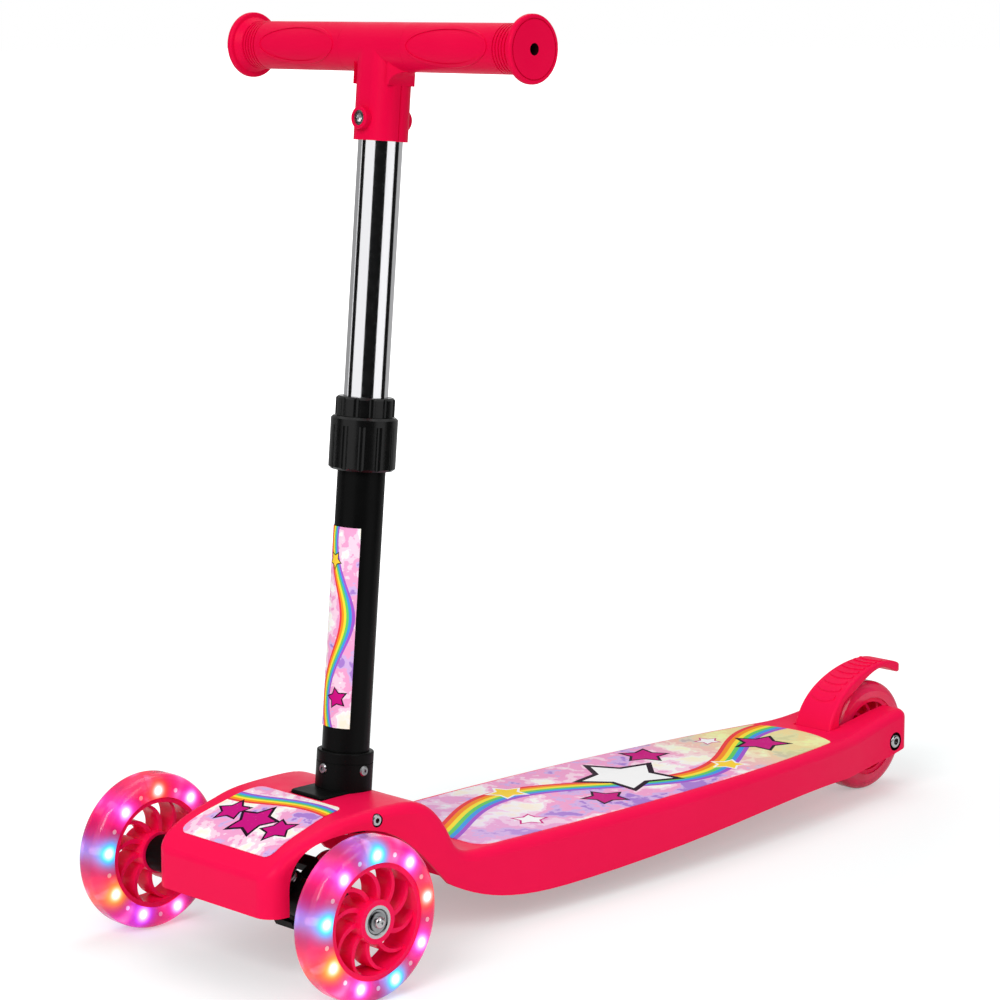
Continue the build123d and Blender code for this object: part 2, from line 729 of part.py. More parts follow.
def column_nut():
    """The nut on the column bolt, on the socket's floor."""
    nut = extrude(RegularPolygon(AXLE_R * 1.7, 6), AXLE_R * 1.6)
    nut -= post(AXLE_R + FIT, -1, AXLE_R * 2)
    return on_column(Pos(0, 0, SOCKET_FLOOR - SOCKET_DEPTH) * nut)


def lower_tube():
    """The black outer tube, from the socket's floor up into the twist lock."""
    bottom = SOCKET_FLOOR - SOCKET_DEPTH
    top = LOCK_BOTTOM + LOCK_NUT_H - LOCK_LIP
    tube = post(LOWER_TUBE_R, bottom, top) - post(LOWER_TUBE_R - TUBE_WALL, bottom - 1, top + 1)
    for turn in collar_turns():
        tube -= Rot(Z=turn) * collar_screw_hole()
    return on_column(tube)


def lock_collet():
    """The sleeve fixed on the lower tube's end, with a fluted head that guides the upper tube."""
    tube_top = LOCK_BOTTOM + LOCK_NUT_H - LOCK_LIP
    seam = LOCK_BOTTOM + LOCK_NUT_H + RUN
    head_top = seam + LOCK_HEAD_H
    sleeve = post(COLLET_R, LOCK_BOTTOM + LOCK_LIP + RUN, seam)
    head = post(LOCK_HEAD_R, seam, head_top)
    head = chamfer(head.edges().group_by(Axis.Z)[-1], 1.5)
    flute = Pos(LOCK_HEAD_R + FLUTE_R * 0.7, 0, 0) * post(FLUTE_R, seam - 1, head_top + 1)
    head -= [Rot(Z=360 / LOCK_FLUTES * i) * flute for i in range(LOCK_FLUTES)]
    collet = sleeve + head
    collet -= post(LOWER_TUBE_R + FIT, LOCK_BOTTOM, tube_top)
    collet -= post(UPPER_TUBE_R + FIT, LOCK_BOTTOM, head_top + 1)
    return on_column(collet)


def lock_nut():
    """The fluted nut that turns to free or grip the upper tube."""
    top = LOCK_BOTTOM + LOCK_NUT_H
    nut = post(LOCK_NUT_R, LOCK_BOTTOM, top)
    nut = chamfer(nut.edges().filter_by(GeomType.CIRCLE), 1.6)
    flute = Pos(LOCK_NUT_R + FLUTE_R * 0.7, 0, 0) * post(FLUTE_R, LOCK_BOTTOM - 1, top - LOCK_LIP)
    nut -= [Rot(Z=360 / LOCK_FLUTES * (i + 0.5)) * flute for i in range(LOCK_FLUTES)]
    nut -= post(LOWER_TUBE_R + SEAT, LOCK_BOTTOM - 1, top)
    nut -= post(COLLET_R + SEAT, LOCK_BOTTOM + LOCK_LIP, top + 1)
    return on_column(nut)


# Handle
def upper_tube():
    """The chrome inner tube, from inside the lower tube up into the stem."""
    bottom = LOCK_BOTTOM - TUBE_HIDDEN
    top = STEM_BOTTOM + STEM_SOCKET
    tube = post(UPPER_TUBE_R, bottom, top) - post(UPPER_TUBE_R - TUBE_WALL, bottom - 1, top + 1)
    return on_column(tube - handle_bolt_hole())


def handle_bolt_hole():
    """The hole across the stem for its clamping bolt, in the column's frame."""
    return Pos(0, 0, STEM_BOTTOM + BOLT_UP) * Rot(X=90) * Cylinder(HANDLE_BOLT_R + FIT, STEM_D * 2)


def t_handle():
    """The moulded T: a rounded stem that takes the tube, and the cross bar for the grips."""
    section = RectangleRounded(STEM_W, STEM_D, STEM_CORNER_R)
    stem = Pos(0, 0, STEM_BOTTOM) * extrude(section, BAR_HEIGHT - STEM_BOTTOM)
    core_half = BAR_HALF - GRIP_FLANGE_W
    bar = rod(GRIP_R, -GRIP_START, GRIP_START) + rod(BAR_CORE_R, -core_half, core_half)
    handle = stem + Pos(0, 0, BAR_HEIGHT) * (bar + gussets())
    boss = Rot(X=90) * Cylinder(BOLT_BOSS_R, STEM_D + 2 * BOLT_BOSS)
    boss = fillet(boss.edges().filter_by(GeomType.CIRCLE), BOLT_BOSS * 0.2)
    handle += Pos(0, 0, STEM_BOTTOM + BOLT_UP) * boss
    handle -= post(UPPER_TUBE_R + FIT, STEM_BOTTOM - 1, STEM_BOTTOM + STEM_SOCKET)
    return on_column(handle - stem_seams() - handle_bolt_hole() - handle_bolt_seats())


def gussets():
    """The hollow-curved webs between stem and bar, drawn about the middle of the bar."""
    inner = STEM_W / 2 - 1
    outer = STEM_W / 2 + GUSSET_R
    low = -GRIP_R - GUSSET_R
    corner = [
        Line((inner, 0), (inner, low)),
        Line((inner, low), (STEM_W / 2, low)),
        RadiusArc((STEM_W / 2, low), (outer, -GRIP_R), GUSSET_R),
        Line((outer, -GRIP_R), (outer, 0)),
        Line((outer, 0), (inner, 0)),
    ]
    web = extrude(Plane.XZ * make_face([e.edge() for e in corner]), GUSSET_HALF_D, both=True)
    plan = Polygon(
        (inner, -GUSSET_HALF_D), (outer, -GUSSET_TIP_HALF_D),
        (outer, GUSSET_TIP_HALF_D), (inner, GUSSET_HALF_D), align=None,
    )
    web &= extrude(plan, 2 * low, both=True)
    return [web, web.mirror(Plane.YZ)]


def stem_seams():
    """The moulding's seam down each side of the stem, in the column's frame."""
    deep = STEM_W / 2 - STEM_SEAM_DEPTH
    half = STEM_SEAM_W / 2
    top = BAR_HEIGHT - GRIP_R - GUSSET_R
    seam = block(deep, STEM_W, -half, half, STEM_BOTTOM - 1, top)
    return [seam, seam.mirror(Plane.YZ)]


def handle_bolt_seats():
    """Round seats for the bolt's head and nut, in the column's frame."""
    seat = Rot(X=90) * Cylinder(HANDLE_HEAD_R + FIT, 2 * BOLT_BOSS)
    out = STEM_D / 2 + BOLT_BOSS
    return [Pos(0, side * out, STEM_BOTTOM + BOLT_UP) * seat for side in (-1, 1)]


def handle_bolt():
    """The socket-head bolt through the stem, head to the front."""
    front = STEM_D / 2
    top = front + HANDLE_HEAD_H
    head = post(HANDLE_HEAD_R, front, top)
    head -= Pos(0, 0, top) * extrude(RegularPolygon(HANDLE_BOLT_R, 6), -HANDLE_HEAD_H * 0.7)
    bolt = head + post(HANDLE_BOLT_R, -front - BOLT_BOSS, front)
    return on_column(Pos(0, 0, STEM_BOTTOM + BOLT_UP) * Rot(X=90) * bolt)


def handle_nut():
    """The nut at the back of the stem."""
    back = STEM_D / 2
    nut = Pos(0, 0, -back - BOLT_BOSS) * extrude(RegularPolygon(HANDLE_HEAD_R, 6), BOLT_BOSS)
    nut -= post(HANDLE_BOLT_R + FIT, -2 * back, 0)
    return on_column(Pos(0, 0, STEM_BOTTOM + BOLT_UP) * Rot(X=90) * nut)


def grip(side):
    """A moulded grip with an end disc, ring grooves and a raised oval frame front and back."""
    flange_start = BAR_HALF - GRIP_FLANGE_W
    body = rod(GRIP_R, GRIP_START + SEAT, BAR_HALF)
    body += grip_flange(flange_start)
    for i in range(GRIP_RINGS):
        start = flange_start - GRIP_RING_PITCH * (i + 0.8)
        body -= tube_x(GRIP_R + 1, GRIP_R - GRIP_RING_DEPTH, start, start + GRIP_RING_W)
    body += grip_oval()
    body -= rod(BAR_CORE_R + FIT, 0, flange_start + FIT)
    body -= rod(END_HOLE_R, BAR_HALF - END_HOLE_DEPTH, BAR_HALF + 1)
    body -= tube_x(END_LINE_R, END_LINE_R - END_LINE_W, BAR_HALF - END_LINE_W, BAR_HALF + 1)
    if side < 0:
        body = Rot(Z=180) * body
    return on_column(Pos(0, 0, BAR_HEIGHT) * body)


def grip_flange(start):
    """The grip's end disc, with the flared neck that leads up to it."""
    disc_start = BAR_HALF - GRIP_DISC_W
    disc = rod(GRIP_FLANGE_R, disc_start, BAR_HALF)
    disc = fillet(disc.edges().filter_by(GeomType.CIRCLE), GRIP_DISC_ROUND_R)
    neck = Cone(GRIP_R - SEAT, GRIP_NECK_R, disc_start + 1 - start)
    return disc + Pos((start + disc_start + 1) / 2, 0, 0) * Rot(Y=90) * neck


def grip_oval():
    """The raised oval frame round the grip's palm area, on its front and back."""
    middle = GRIP_START + SEAT + GRIP_OVAL_START + GRIP_OVAL_LENGTH / 2
    outer = Ellipse(GRIP_OVAL_LENGTH / 2, GRIP_OVAL_W / 2)
    inner = Ellipse(GRIP_OVAL_LENGTH / 2 - GRIP_OVAL_RIM, GRIP_OVAL_W / 2 - GRIP_OVAL_RIM)
    band = Rot(X=90) * Pos(middle, 0, -GRIP_R * 2) * extrude(outer - inner, GRIP_R * 4)
    skin = tube_x(GRIP_R + GRIP_OVAL_RAISE, GRIP_R - 1, GRIP_START + SEAT, BAR_HALF)
    return skin & band


# Steering
def steering_truck():
    """The black truck: saddle under the hood, cross beam and a tilted fork for each kingpin."""
    web_in = KINGPIN_X - BARREL_R - RUN * 2 - WEB_T
    ear_out = KINGPIN_X + EAR_REACH
    high = BARREL_HALF + SPRING_ROOM
    low = -BARREL_HALF - RUN
    frame = block(-web_in - 1, web_in + 1, -BEAM_HALF, BEAM_HALF, low, high)
    for side in (-1, 1):
        fork = block(web_in, web_in + WEB_T, -EAR_HALF_D, EAR_HALF_D, low - EAR_T, high + EAR_T)
        fork += block(web_in, KINGPIN_X, -EAR_HALF_D, EAR_HALF_D, high, high + EAR_T)
        fork += block(web_in, KINGPIN_X, -EAR_HALF_D, EAR_HALF_D, low - EAR_T, low)
        tip = post(EAR_REACH, high, high + EAR_T) + post(EAR_REACH, low - EAR_T, low)
        fork += Pos(KINGPIN_X, 0, 0) * tip
        fork -= Pos(KINGPIN_X, 0, 0) * post(KINGPIN_R + FIT, low * 3, high * 3)
        frame += fork if side > 0 else fork.mirror(Plane.YZ)
    truck = tilted(frame)
    saddle = block(-SADDLE_HALF_W, SADDLE_HALF_W, SADDLE_FRONT, SADDLE_REAR, -SADDLE_T, 0)
    truck += Pos(0, 0, SADDLE_Z) * saddle
    truck += block(-web_in, web_in, -BEAM_HALF, BEAM_HALF, AXLE_Z, SADDLE_Z)
    for x, y in truck_screw_places():
        truck -= Pos(x, y, 0) * post(TRUCK_SCREW_R + FIT, 0, SADDLE_Z + 1)
        truck -= Pos(x, y, 0) * post(SCREW_HEAD_R + RUN, 0, SADDLE_Z - SADDLE_T)
    return truck


def truck_screws():
    """Four screws up through the saddle into the hood's bosses."""
    one = Rot(X=180) * screw(SADDLE_T + TRUCK_SCREW_BITE, SCREW_HEAD_R)
    return Compound([Pos(x, y, SADDLE_Z - SADDLE_T) * one for x, y in truck_screw_places()])


def kingpins():
    """The two pins that the knuckles turn on, with a head on top."""
    high = BARREL_HALF + SPRING_ROOM + EAR_T
    low = -BARREL_HALF - RUN - EAR_T
    pin = post(KINGPIN_R, low - 1, high) + post(KINGPIN_R * 1.5, high, high + KINGPIN_HEAD_H)
    return Compound([tilted(Pos(side * KINGPIN_X, 0, 0) * pin) for side in (-1, 1)])


def centring_springs():
    """A coil round each kingpin, between barrel and upper ear, that steers the wheels straight."""
    spring = wire_spring(STEER_COIL_R, STEER_COIL_PITCH, STEER_QUARTERS, STEER_WIRE_R)
    rise = STEER_COIL_PITCH * STEER_QUARTERS / 4
    base = BARREL_HALF + SPRING_ROOM - rise - STEER_WIRE_R - FIT
    return Compound([tilted(Pos(side * KINGPIN_X, 0, base) * spring) for side in (-1, 1)])


def knuckle(side):
    """A steering knuckle: barrel on the kingpin, stub for the axle and arm to the tie rod."""
    body = Pos(KINGPIN_X, 0, 0) * post(BARREL_R, -BARREL_HALF, BARREL_HALF)
    arm = block(-ARM_END_R, ARM_END_R, 0, ARM_LENGTH, -ARM_T / 2, ARM_T / 2)
    arm += Pos(0, ARM_LENGTH, 0) * post(ARM_END_R, -ARM_T / 2, ARM_T / 2)
    arm -= Pos(0, ARM_LENGTH, 0) * post(TIE_PIN_R + FIT, -ARM_T, ARM_T)
    body += Pos(KINGPIN_X, 0, 0) * arm
    body += rod(STUB_R, KINGPIN_X, HUB_IN_X - WASHER_ROOM)
    body -= Pos(KINGPIN_X, 0, 0) * post(KINGPIN_R + FIT, -BARREL_HALF - 1, BARREL_HALF + 1)
    body -= rod(AXLE_R + FIT, axle_root(), HUB_OUT_X)
    body = body if side > 0 else body.mirror(Plane.YZ)
    return tilted(body)


def axle_root():
    """Where the stub axle ends inside the knuckle."""
    return KINGPIN_X + BARREL_R + 4


def on_side(part, side):
    """Puts a part drawn for the left wheel's axle on either side."""
    placed = part if side > 0 else part.mirror(Plane.YZ)
    return Pos(0, 0, AXLE_Z) * placed


def front_axle(side):
    """The steel stub axle, with a rounded end outside the wheel."""
    end = HUB_OUT_X + AXLE_END
    axle = rod(AXLE_R, axle_root(), end)
    axle = fillet(axle.edges().group_by(Axis.X)[-1], AXLE_R * 0.6)
    axle -= rod(AXLE_R * 0.3, end - 1, end + 1)
    axle -= tube_x(AXLE_R + 1, AXLE_R * 0.8, HUB_OUT_X + SEAT, HUB_OUT_X + SEAT + CLIP_T)
    return on_side(axle, side)


def axle_clip(side):
    """The open clip in the axle's groove that keeps the wheel on."""
    start = HUB_OUT_X + SEAT
    clip = tube_x(AXLE_R * 1.6, AXLE_R * 0.8 + FIT, start + FIT, start + CLIP_T - FIT)
    clip -= block(start, start + 2 * CLIP_T, 0, AXLE_R * 3, -AXLE_R * 0.7, AXLE_R * 0.7)
    return on_side(clip, side)


def axle_washer(side):
    """The washer between knuckle and wheel."""
    washer = tube_x(AXLE_R * 1.7, AXLE_R + FIT, HUB_IN_X - WASHER_ROOM, HUB_IN_X - SEAT)
    return on_side(washer, side)


def tie_rod():
    """The bar that joins the two steering arms, under their ends, with its eyes."""
    top = -ARM_T / 2 - SEAT
    half = TIE_ROD_W / 2
    bar = block(-KINGPIN_X, KINGPIN_X, ARM_LENGTH - half, ARM_LENGTH + half, top - TIE_ROD_T, top)
    for side in (-1, 1):
        bar += Pos(side * KINGPIN_X, ARM_LENGTH, 0) * post(ARM_END_R, top - TIE_ROD_T, top)
        bar -= Pos(side * KINGPIN_X, ARM_LENGTH, 0) * post(TIE_PIN_R + FIT, top * 4, 0)
    return tilted(bar)


def tie_pins():
    """The two pins through rod and arms, headed at both ends."""
    low = -ARM_T / 2 - SEAT - TIE_ROD_T
    high = ARM_T / 2 + SEAT
    pin = post(TIE_PIN_R, low, high)
    for end in (low - TIE_HEAD_H, high):
        pin += post(TIE_PIN_R * 1.6, end, end + TIE_HEAD_H)
    return Compound([tilted(Pos(side * KINGPIN_X, ARM_LENGTH, 0) * pin) for side in (-1, 1)])


# Rear axle
def rear_axle_bolt():
    """The bolt through fork and rear wheel, with a socket head on the rider's left."""
    seat = FORK_HALF_W - BOLT_SINK
    face = seat + REAR_HEAD_H
    head = rod(REAR_HEAD_R, seat, face)
    head = fillet(head.edges().group_by(Axis.X)[-1], AXLE_R * 0.4)
    socket = extrude(RegularPolygon(AXLE_R * 0.75, 6), REAR_HEAD_H * 0.6)
    head -= Pos(face, 0, 0) * Rot(Y=-90) * socket
    return Pos(0, WHEELBASE, REAR_AXLE_Z) * (head + rod(AXLE_R, -seat - REAR_NUT_H, seat))


def rear_axle_nut():
    """The locking nut on the rider's right."""
    seat = FORK_HALF_W - BOLT_SINK
    nut = Rot(Y=-90) * extrude(RegularPolygon(AXLE_R * 1.75, 6), REAR_NUT_H)
    nut -= rod(AXLE_R + FIT, -2 * REAR_NUT_H, 1)
    return Pos(-seat, WHEELBASE, REAR_AXLE_Z) * nut


def rear_spacers():
    """The two sleeves between the rear bearings and the fork."""
    inner = WHEEL_W / 2 + SEAT
    one = tube_x(AXLE_R * 1.6, AXLE_R + FIT, inner, FORK_GAP / 2)
    return Compound([Pos(0, WHEELBASE, REAR_AXLE_Z) * p for p in (one, one.mirror(Plane.YZ))])


# Foot brake
def brake_outline():
    """The brake's side view: a horn that rises from the pin and curls back over the wheel."""
    foot_front = (BRAKE_PIN_Y - BRAKE_BARREL_R, BRAKE_PIN_Z)
    foot_back = (foot_front[0] + BRAKE_BASE_DEPTH, BRAKE_PIN_Z + BRAKE_BARREL_R)
    under = (BRAKE_CROWN[0], BRAKE_CROWN[1] - BRAKE_THICK)
    tip_low = (BRAKE_TIP[0] - 1, BRAKE_TIP[1] - BRAKE_TIP_T)
    shoulder_low = (BRAKE_SHOULDER[0] + BRAKE_THICK * 2.2, BRAKE_SHOULDER[1] - BRAKE_THICK * 0.6)
    edges = [
        Spline([foot_front, BRAKE_SHOULDER, BRAKE_CROWN, BRAKE_TIP], tangents=[(0.2, 1), (1, -0.5)]),
        Line(BRAKE_TIP, tip_low),
        Spline([tip_low, under, shoulder_low, foot_back], tangents=[(-1, 0.25), (-0.15, -1)]),
        Line(foot_back, (foot_back[0], BRAKE_PIN_Z)),
        Line((foot_back[0], BRAKE_PIN_Z), foot_front),
    ]
    face = make_face([e.edge() for e in edges])
    tip = [v for v in face.vertices() if v.X > tip_low[0] - 1]
    return fillet(tip, BRAKE_ROUND_R)


def brake_plan():
    """The brake from above: wide at the pin, narrowing to a rounded tip."""
    start = BRAKE_PIN_Y - BRAKE_BARREL_R - 1
    end = BRAKE_TIP[0] + 1
    outline = Polygon(
        (-BRAKE_BASE_HALF_W, start), (BRAKE_BASE_HALF_W, start),
        (BRAKE_TIP_HALF_W, end), (-BRAKE_TIP_HALF_W, end), align=None,
    )
    return fillet(outline.vertices().group_by(Axis.Y)[-1], BRAKE_TIP_HALF_W * 0.8)


def brake_fender():
    """The foot brake, with bowed ridges on top and an eye for its pin."""
    outline = brake_outline()
    plan = extrude(brake_plan(), HOOD_CREST_Z * 2)
    body = rounded_horn(across(outline, BRAKE_BASE_HALF_W) & plan)
    raised = across(outline, BRAKE_BASE_HALF_W * 0.6) & plan
    raised = Pos(0, -RIDGE_RAISE * 0.6, RIDGE_RAISE) * raised
    body += [raised & ridge for ridge in ridges()]
    pin = Pos(0, BRAKE_PIN_Y, BRAKE_PIN_Z)
    wide = BRAKE_BASE_HALF_W
    body += pin * rod(BRAKE_BARREL_R, -wide, wide)
    body -= pin * rod(BRAKE_PIN_R + FIT, -wide - 1, wide + 1)
    half = BRAKE_SPRING_GAP / 2
    room = BRAKE_COIL_R + BRAKE_WIRE_R + RUN
    body -= pin * rod(room, -half, half)
    body -= pin * block(-half, half, -room, room, -2 * room, 0)
    return body


def rounded_horn(horn):
    """The brake's plain form with the long edges of its top rounded."""
    top = max(horn.faces(), key=lambda f: f.area * f.normal_at().Z)
    return fillet([e for e in top.edges() if abs(e.center().X) > 1], BRAKE_EDGE_R)


def ridges():
    """Bowed bands, seen from above, that become the ridges on the brake's top."""
    first = BRAKE_SHOULDER[0] - RIDGE_PITCH
    bands = []
    for i in range(RIDGES):
        centre = Pos(0, first + RIDGE_PITCH * i + RIDGE_BOW_R, BRAKE_SHOULDER[1] - RIDGE_PITCH * 3)
        ring = Circle(RIDGE_BOW_R + RIDGE_W / 2) - Circle(RIDGE_BOW_R - RIDGE_W / 2)
        near = Pos(0, -RIDGE_BOW_R) * Rectangle(BRAKE_BASE_HALF_W * 2, RIDGE_BOW_R * 1.2)
        bands.append(centre * extrude(ring & near, HOOD_CREST_Z))
    return bands


def brake_pad():
    """The steel plate under the brake that rubs on the tyre."""
    horn = across(brake_outline(), PAD_HALF_W)
    skin = Pos(0, PAD_T * 0.5, -PAD_T) * horn - across(brake_outline(), PAD_HALF_W + 1)
    start = BRAKE_PIN_Y + PAD_FROM
    under = BRAKE_CROWN[1] - BRAKE_THICK
    return skin & block(-PAD_HALF_W, PAD_HALF_W, start, BRAKE_PIN_Y + PAD_TO, BRAKE_PIN_Z, under)


def brake_pin():
    """The brake's pin in the deck."""
    reach = BRAKE_BASE_HALF_W + RUN + 2 * WALL - SEAT
    return Pos(0, BRAKE_PIN_Y, BRAKE_PIN_Z) * rod(BRAKE_PIN_R, -reach, reach)


def brake_spring():
    """The coil round the brake's pin."""
    spring = wire_spring(BRAKE_COIL_R, BRAKE_COIL_PITCH, BRAKE_QUARTERS, BRAKE_WIRE_R)
    rise = BRAKE_COIL_PITCH * BRAKE_QUARTERS / 4
    return Pos(-rise / 2, BRAKE_PIN_Y, BRAKE_PIN_Z) * Rot(Y=90) * spring


def side_screws():
    """The screw on each flank of the hood, sunk in its seat."""
    one = Pos(HOOD_HALF_W, SIDE_SCREW_Y, SIDE_SCREW_Z) * Rot(Y=90) * screw(WALL * 2, SIDE_HEAD_R)
    return Compound([one, one.mirror(Plane.YZ)])


def side_screw_seats():
    """The sunk round seats and holes of the flank screws."""
    seat = rod(SIDE_HEAD_R + RUN, HOOD_HALF_W, HOOD_HALF_W + WALL * 2)
    seat += rod(SCREW_SHANK_R + FIT, HOOD_HALF_W - WALL * 3, HOOD_HALF_W)
    place = Pos(0, SIDE_SCREW_Y, SIDE_SCREW_Z)
    return [place * seat, place * seat.mirror(Plane.YZ)]


def front_wheel(make, side):
    """Puts a wheel's piece on the left or right front axle."""
    piece = make if side > 0 else make.mirror(Plane.YZ)
    return Pos(side * WHEEL_X, 0, AXLE_Z) * piece


def rear_wheel(piece):
    """Puts a wheel's piece on the rear axle."""
    return Pos(0, WHEELBASE, REAR_AXLE_Z) * piece


def assembly():
    """Every piece by its node's name."""
    pieces = {
        "deck_body": deck_body(),
        "deck_sheet": deck_sheet(),
        "hood_sheet": hood_sheet(),
        "tube_sheet": tube_sheet(),
        "side_screws": side_screws(),
        "column_socket": column_socket(),
        "collar_screws": collar_screws(),
        "column_bolt": column_bolt(),
        "column_nut": column_nut(),
        "lower_tube": lower_tube(),
        "lock_collet": lock_collet(),
        "lock_nut": lock_nut(),
        "upper_tube": upper_tube(),
        "t_handle": t_handle(),
        "handle_bolt": handle_bolt(),
        "handle_nut": handle_nut(),
        "steering_truck": steering_truck(),
        "truck_screws": truck_screws(),
        "kingpins": kingpins(),
        "centring_springs": centring_springs(),
        "tie_rod": tie_rod(),
        "tie_pins": tie_pins(),
        "rear_axle_bolt": rear_axle_bolt(),
        "rear_axle_nut": rear_axle_nut(),
        "rear_spacers": rear_spacers(),
        "brake_fender": brake_fender(),
        "brake_pad": brake_pad(),
        "brake_pin": brake_pin(),
        "brake_spring": brake_spring(),
        "rear_tyre": rear_wheel(tyre(REAR_WHEEL_R, REAR_TYRE_THICK, REAR_LED_COUNT)),
        "rear_core": rear_wheel(core(REAR_WHEEL_R, REAR_TYRE_THICK)),
        "rear_lights": rear_wheel(lights(REAR_WHEEL_R, REAR_TYRE_THICK, REAR_LED_COUNT)),
        "rear_bearings": rear_wheel(bearings()),
        "rear_magnet_sleeve": rear_wheel(magnet_sleeve()),
    }
    for name, side in (("left", 1), ("right", -1)):
        pieces[f"{name}_grip"] = grip(side)
        pieces[f"{name}_knuckle"] = knuckle(side)
        pieces[f"{name}_axle"] = front_axle(side)
        pieces[f"{name}_axle_clip"] = axle_clip(side)
        pieces[f"{name}_axle_washer"] = axle_washer(side)
        pieces[f"{name}_tyre"] = front_wheel(tyre(FRONT_WHEEL_R, TYRE_THICK, LED_COUNT), side)
        pieces[f"{name}_core"] = front_wheel(core(FRONT_WHEEL_R, TYRE_THICK), side)
        pieces[f"{name}_lights"] = front_wheel(lights(FRONT_WHEEL_R, TYRE_THICK, LED_COUNT), side)
        pieces[f"{name}_bearings"] = front_wheel(bearings(), side)
        pieces[f"{name}_magnet_sleeve"] = front_wheel(magnet_sleeve(), side)
    return pieces


def main():
    os.makedirs("parts", exist_ok=True)
    for name, piece in assembly().items():
        export_step(Pos(0, -Y_MID, 0) * piece, f"parts/{name}.step")
    steer_gap = least_gap(STEER_COIL_R, STEER_COIL_PITCH, STEER_QUARTERS, STEER_WIRE_R)
    brake_gap = least_gap(BRAKE_COIL_R, BRAKE_COIL_PITCH, BRAKE_QUARTERS, BRAKE_WIRE_R)
    print(f"least gap between turns: centring {steer_gap:.2f} mm, brake {brake_gap:.2f} mm")


if __name__ == "__main__":
    main()
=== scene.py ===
import json
import math

import bpy
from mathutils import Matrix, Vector


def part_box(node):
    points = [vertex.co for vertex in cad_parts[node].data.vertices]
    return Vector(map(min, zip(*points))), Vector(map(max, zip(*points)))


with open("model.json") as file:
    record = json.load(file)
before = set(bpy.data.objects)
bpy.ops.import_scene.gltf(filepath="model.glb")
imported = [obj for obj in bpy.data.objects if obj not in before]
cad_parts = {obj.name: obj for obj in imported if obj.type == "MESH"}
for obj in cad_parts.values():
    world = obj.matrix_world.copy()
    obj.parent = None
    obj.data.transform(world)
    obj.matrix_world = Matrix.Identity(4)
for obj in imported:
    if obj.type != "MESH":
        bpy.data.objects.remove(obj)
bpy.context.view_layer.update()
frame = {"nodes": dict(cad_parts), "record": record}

# Looks of a child's three-wheel kick scooter, built round its solids. Metres, +Z up, forward is -Y.
nodes = frame["nodes"]

# Camera at the photograph's angle
CAMERA_AZIMUTH = math.radians(45.34)
CAMERA_ELEVATION = math.radians(9.45)
CAMERA_PLACE = (1.5076, -1.5756, 0.6416)
CAMERA_LENS = 108.12
CAMERA_SENSOR = 36.0

# Edges sharper than this stay sharp
SHARP_ANGLE = math.radians(35.0)

# Cards round the column for bright metal to reflect: turn from the camera's side in degrees, width, tone
CARD_REACH = 1.1
CARD_HEIGHT = 1.3
CARD_MIDDLE = 0.62
CARD_BLACK = (0.01, 0.01, 0.01)
CARDS = [(8, 1.35, 0.0), (96, 0.70, 0.0), (-91, 0.50, 0.0), (140, 1.3, 0.45), (-140, 1.3, 0.35)]

# The floor: its size and colour, and its share of plain white under the object, which rises outwards by
# the fade, slower along the object; its glow as seen by the camera and in mirrors
FLOOR_HALF = 30.0
# The floor's faint cyan tone is painted to cancel the pink light the object throws into its shadow
FLOOR_TONE = (0.85, 0.9, 0.9)
FLOOR_WHITE = 0.22
FLOOR_FADE = 1.1
FLOOR_ALONG = 0.6
FLOOR_GLOW = 1.65
FLOOR_MIRRORED = 1.08

# The surface of the floor and the cards
MATT = {"Roughness": 0.9, "Specular_IOR_Level": 0.0}

# Soft lamps: name, place, aim, size and power; and the light from all round
STUDIO_LAMPS = [
    ("key", (0.9, -2.3, 1.9), (0.0, 0.0, 0.3), 1.4, 46.0),
    ("fill", (1.95, 0.1, 1.3), (0.1, -0.1, 0.1), 1.0, 9.0),
    ("top", (-0.5, 0.6, 2.6), (0.0, 0.0, 0.3), 1.6, 14.0),
]
AMBIENT = 0.42

# Colours, linear
PINK = (0.95, 0.006, 0.080)
# The handle's pink is the shell's pink made darker, as painted shade on the handle
HANDLE_PINK_SHADED = (0.75, 0.001, 0.048)
PINK_DEEP = (0.84, 0.005, 0.062)
CORE_PINK = (0.98, 0.006, 0.095)
TYRE_PINK = (0.82, 0.016, 0.17)
TYRE_PALE = (0.88, 0.09, 0.36)
REAR_TYRE_PINK = (0.98, 0.010, 0.090)
REAR_TYRE_PALE = (0.99, 0.060, 0.200)
BLACK = (0.0025, 0.0025, 0.0025)
BLACK_WORN = (0.006, 0.006, 0.006)
# Painted shade for deep sunk seats and holes
SHADE = (0.020, 0.002, 0.004)
STEEL = (0.55, 0.55, 0.56)
STEEL_DARK = (0.33, 0.33, 0.34)
STEEL_BLACK = (0.11, 0.11, 0.115)
CHROME = (0.86, 0.86, 0.88)
WHITE = (0.95, 0.95, 0.95)
LILAC = (0.42, 0.22, 0.66)
LILAC_PALE = (0.68, 0.46, 0.80)
ROSE = (0.90, 0.38, 0.64)
BLUSH = (0.96, 0.66, 0.80)
CREAM = (0.98, 0.90, 0.72)
LIME = (0.84, 0.92, 0.20)
MAGENTA = (0.60, 0.008, 0.22)
INK = (0.020, 0.006, 0.018)
SUN = (0.98, 0.66, 0.05)
RIBBON = [
    (0.86, 0.05, 0.06), (0.95, 0.30, 0.02), (0.97, 0.78, 0.05),
    (0.13, 0.62, 0.14), (0.06, 0.33, 0.80), (0.38, 0.10, 0.62),
]

# Roughness and grain that the pink mouldings share
SHELL_ROUGH = 0.32
SHELL_GRAIN = 1400.0

# Mirror share of plastics, paint and film
PINK_GLOSS = 0.045
HANDLE_GLOSS = 0.04
CORE_GLOSS = 0.09
BLACK_GLOSS = 0.06
LOCK_GLOSS = 0.26
PAINT_GLOSS = 0.05
TYRE_GLOSS = 0.35
FILM_GLOSS = 0.01
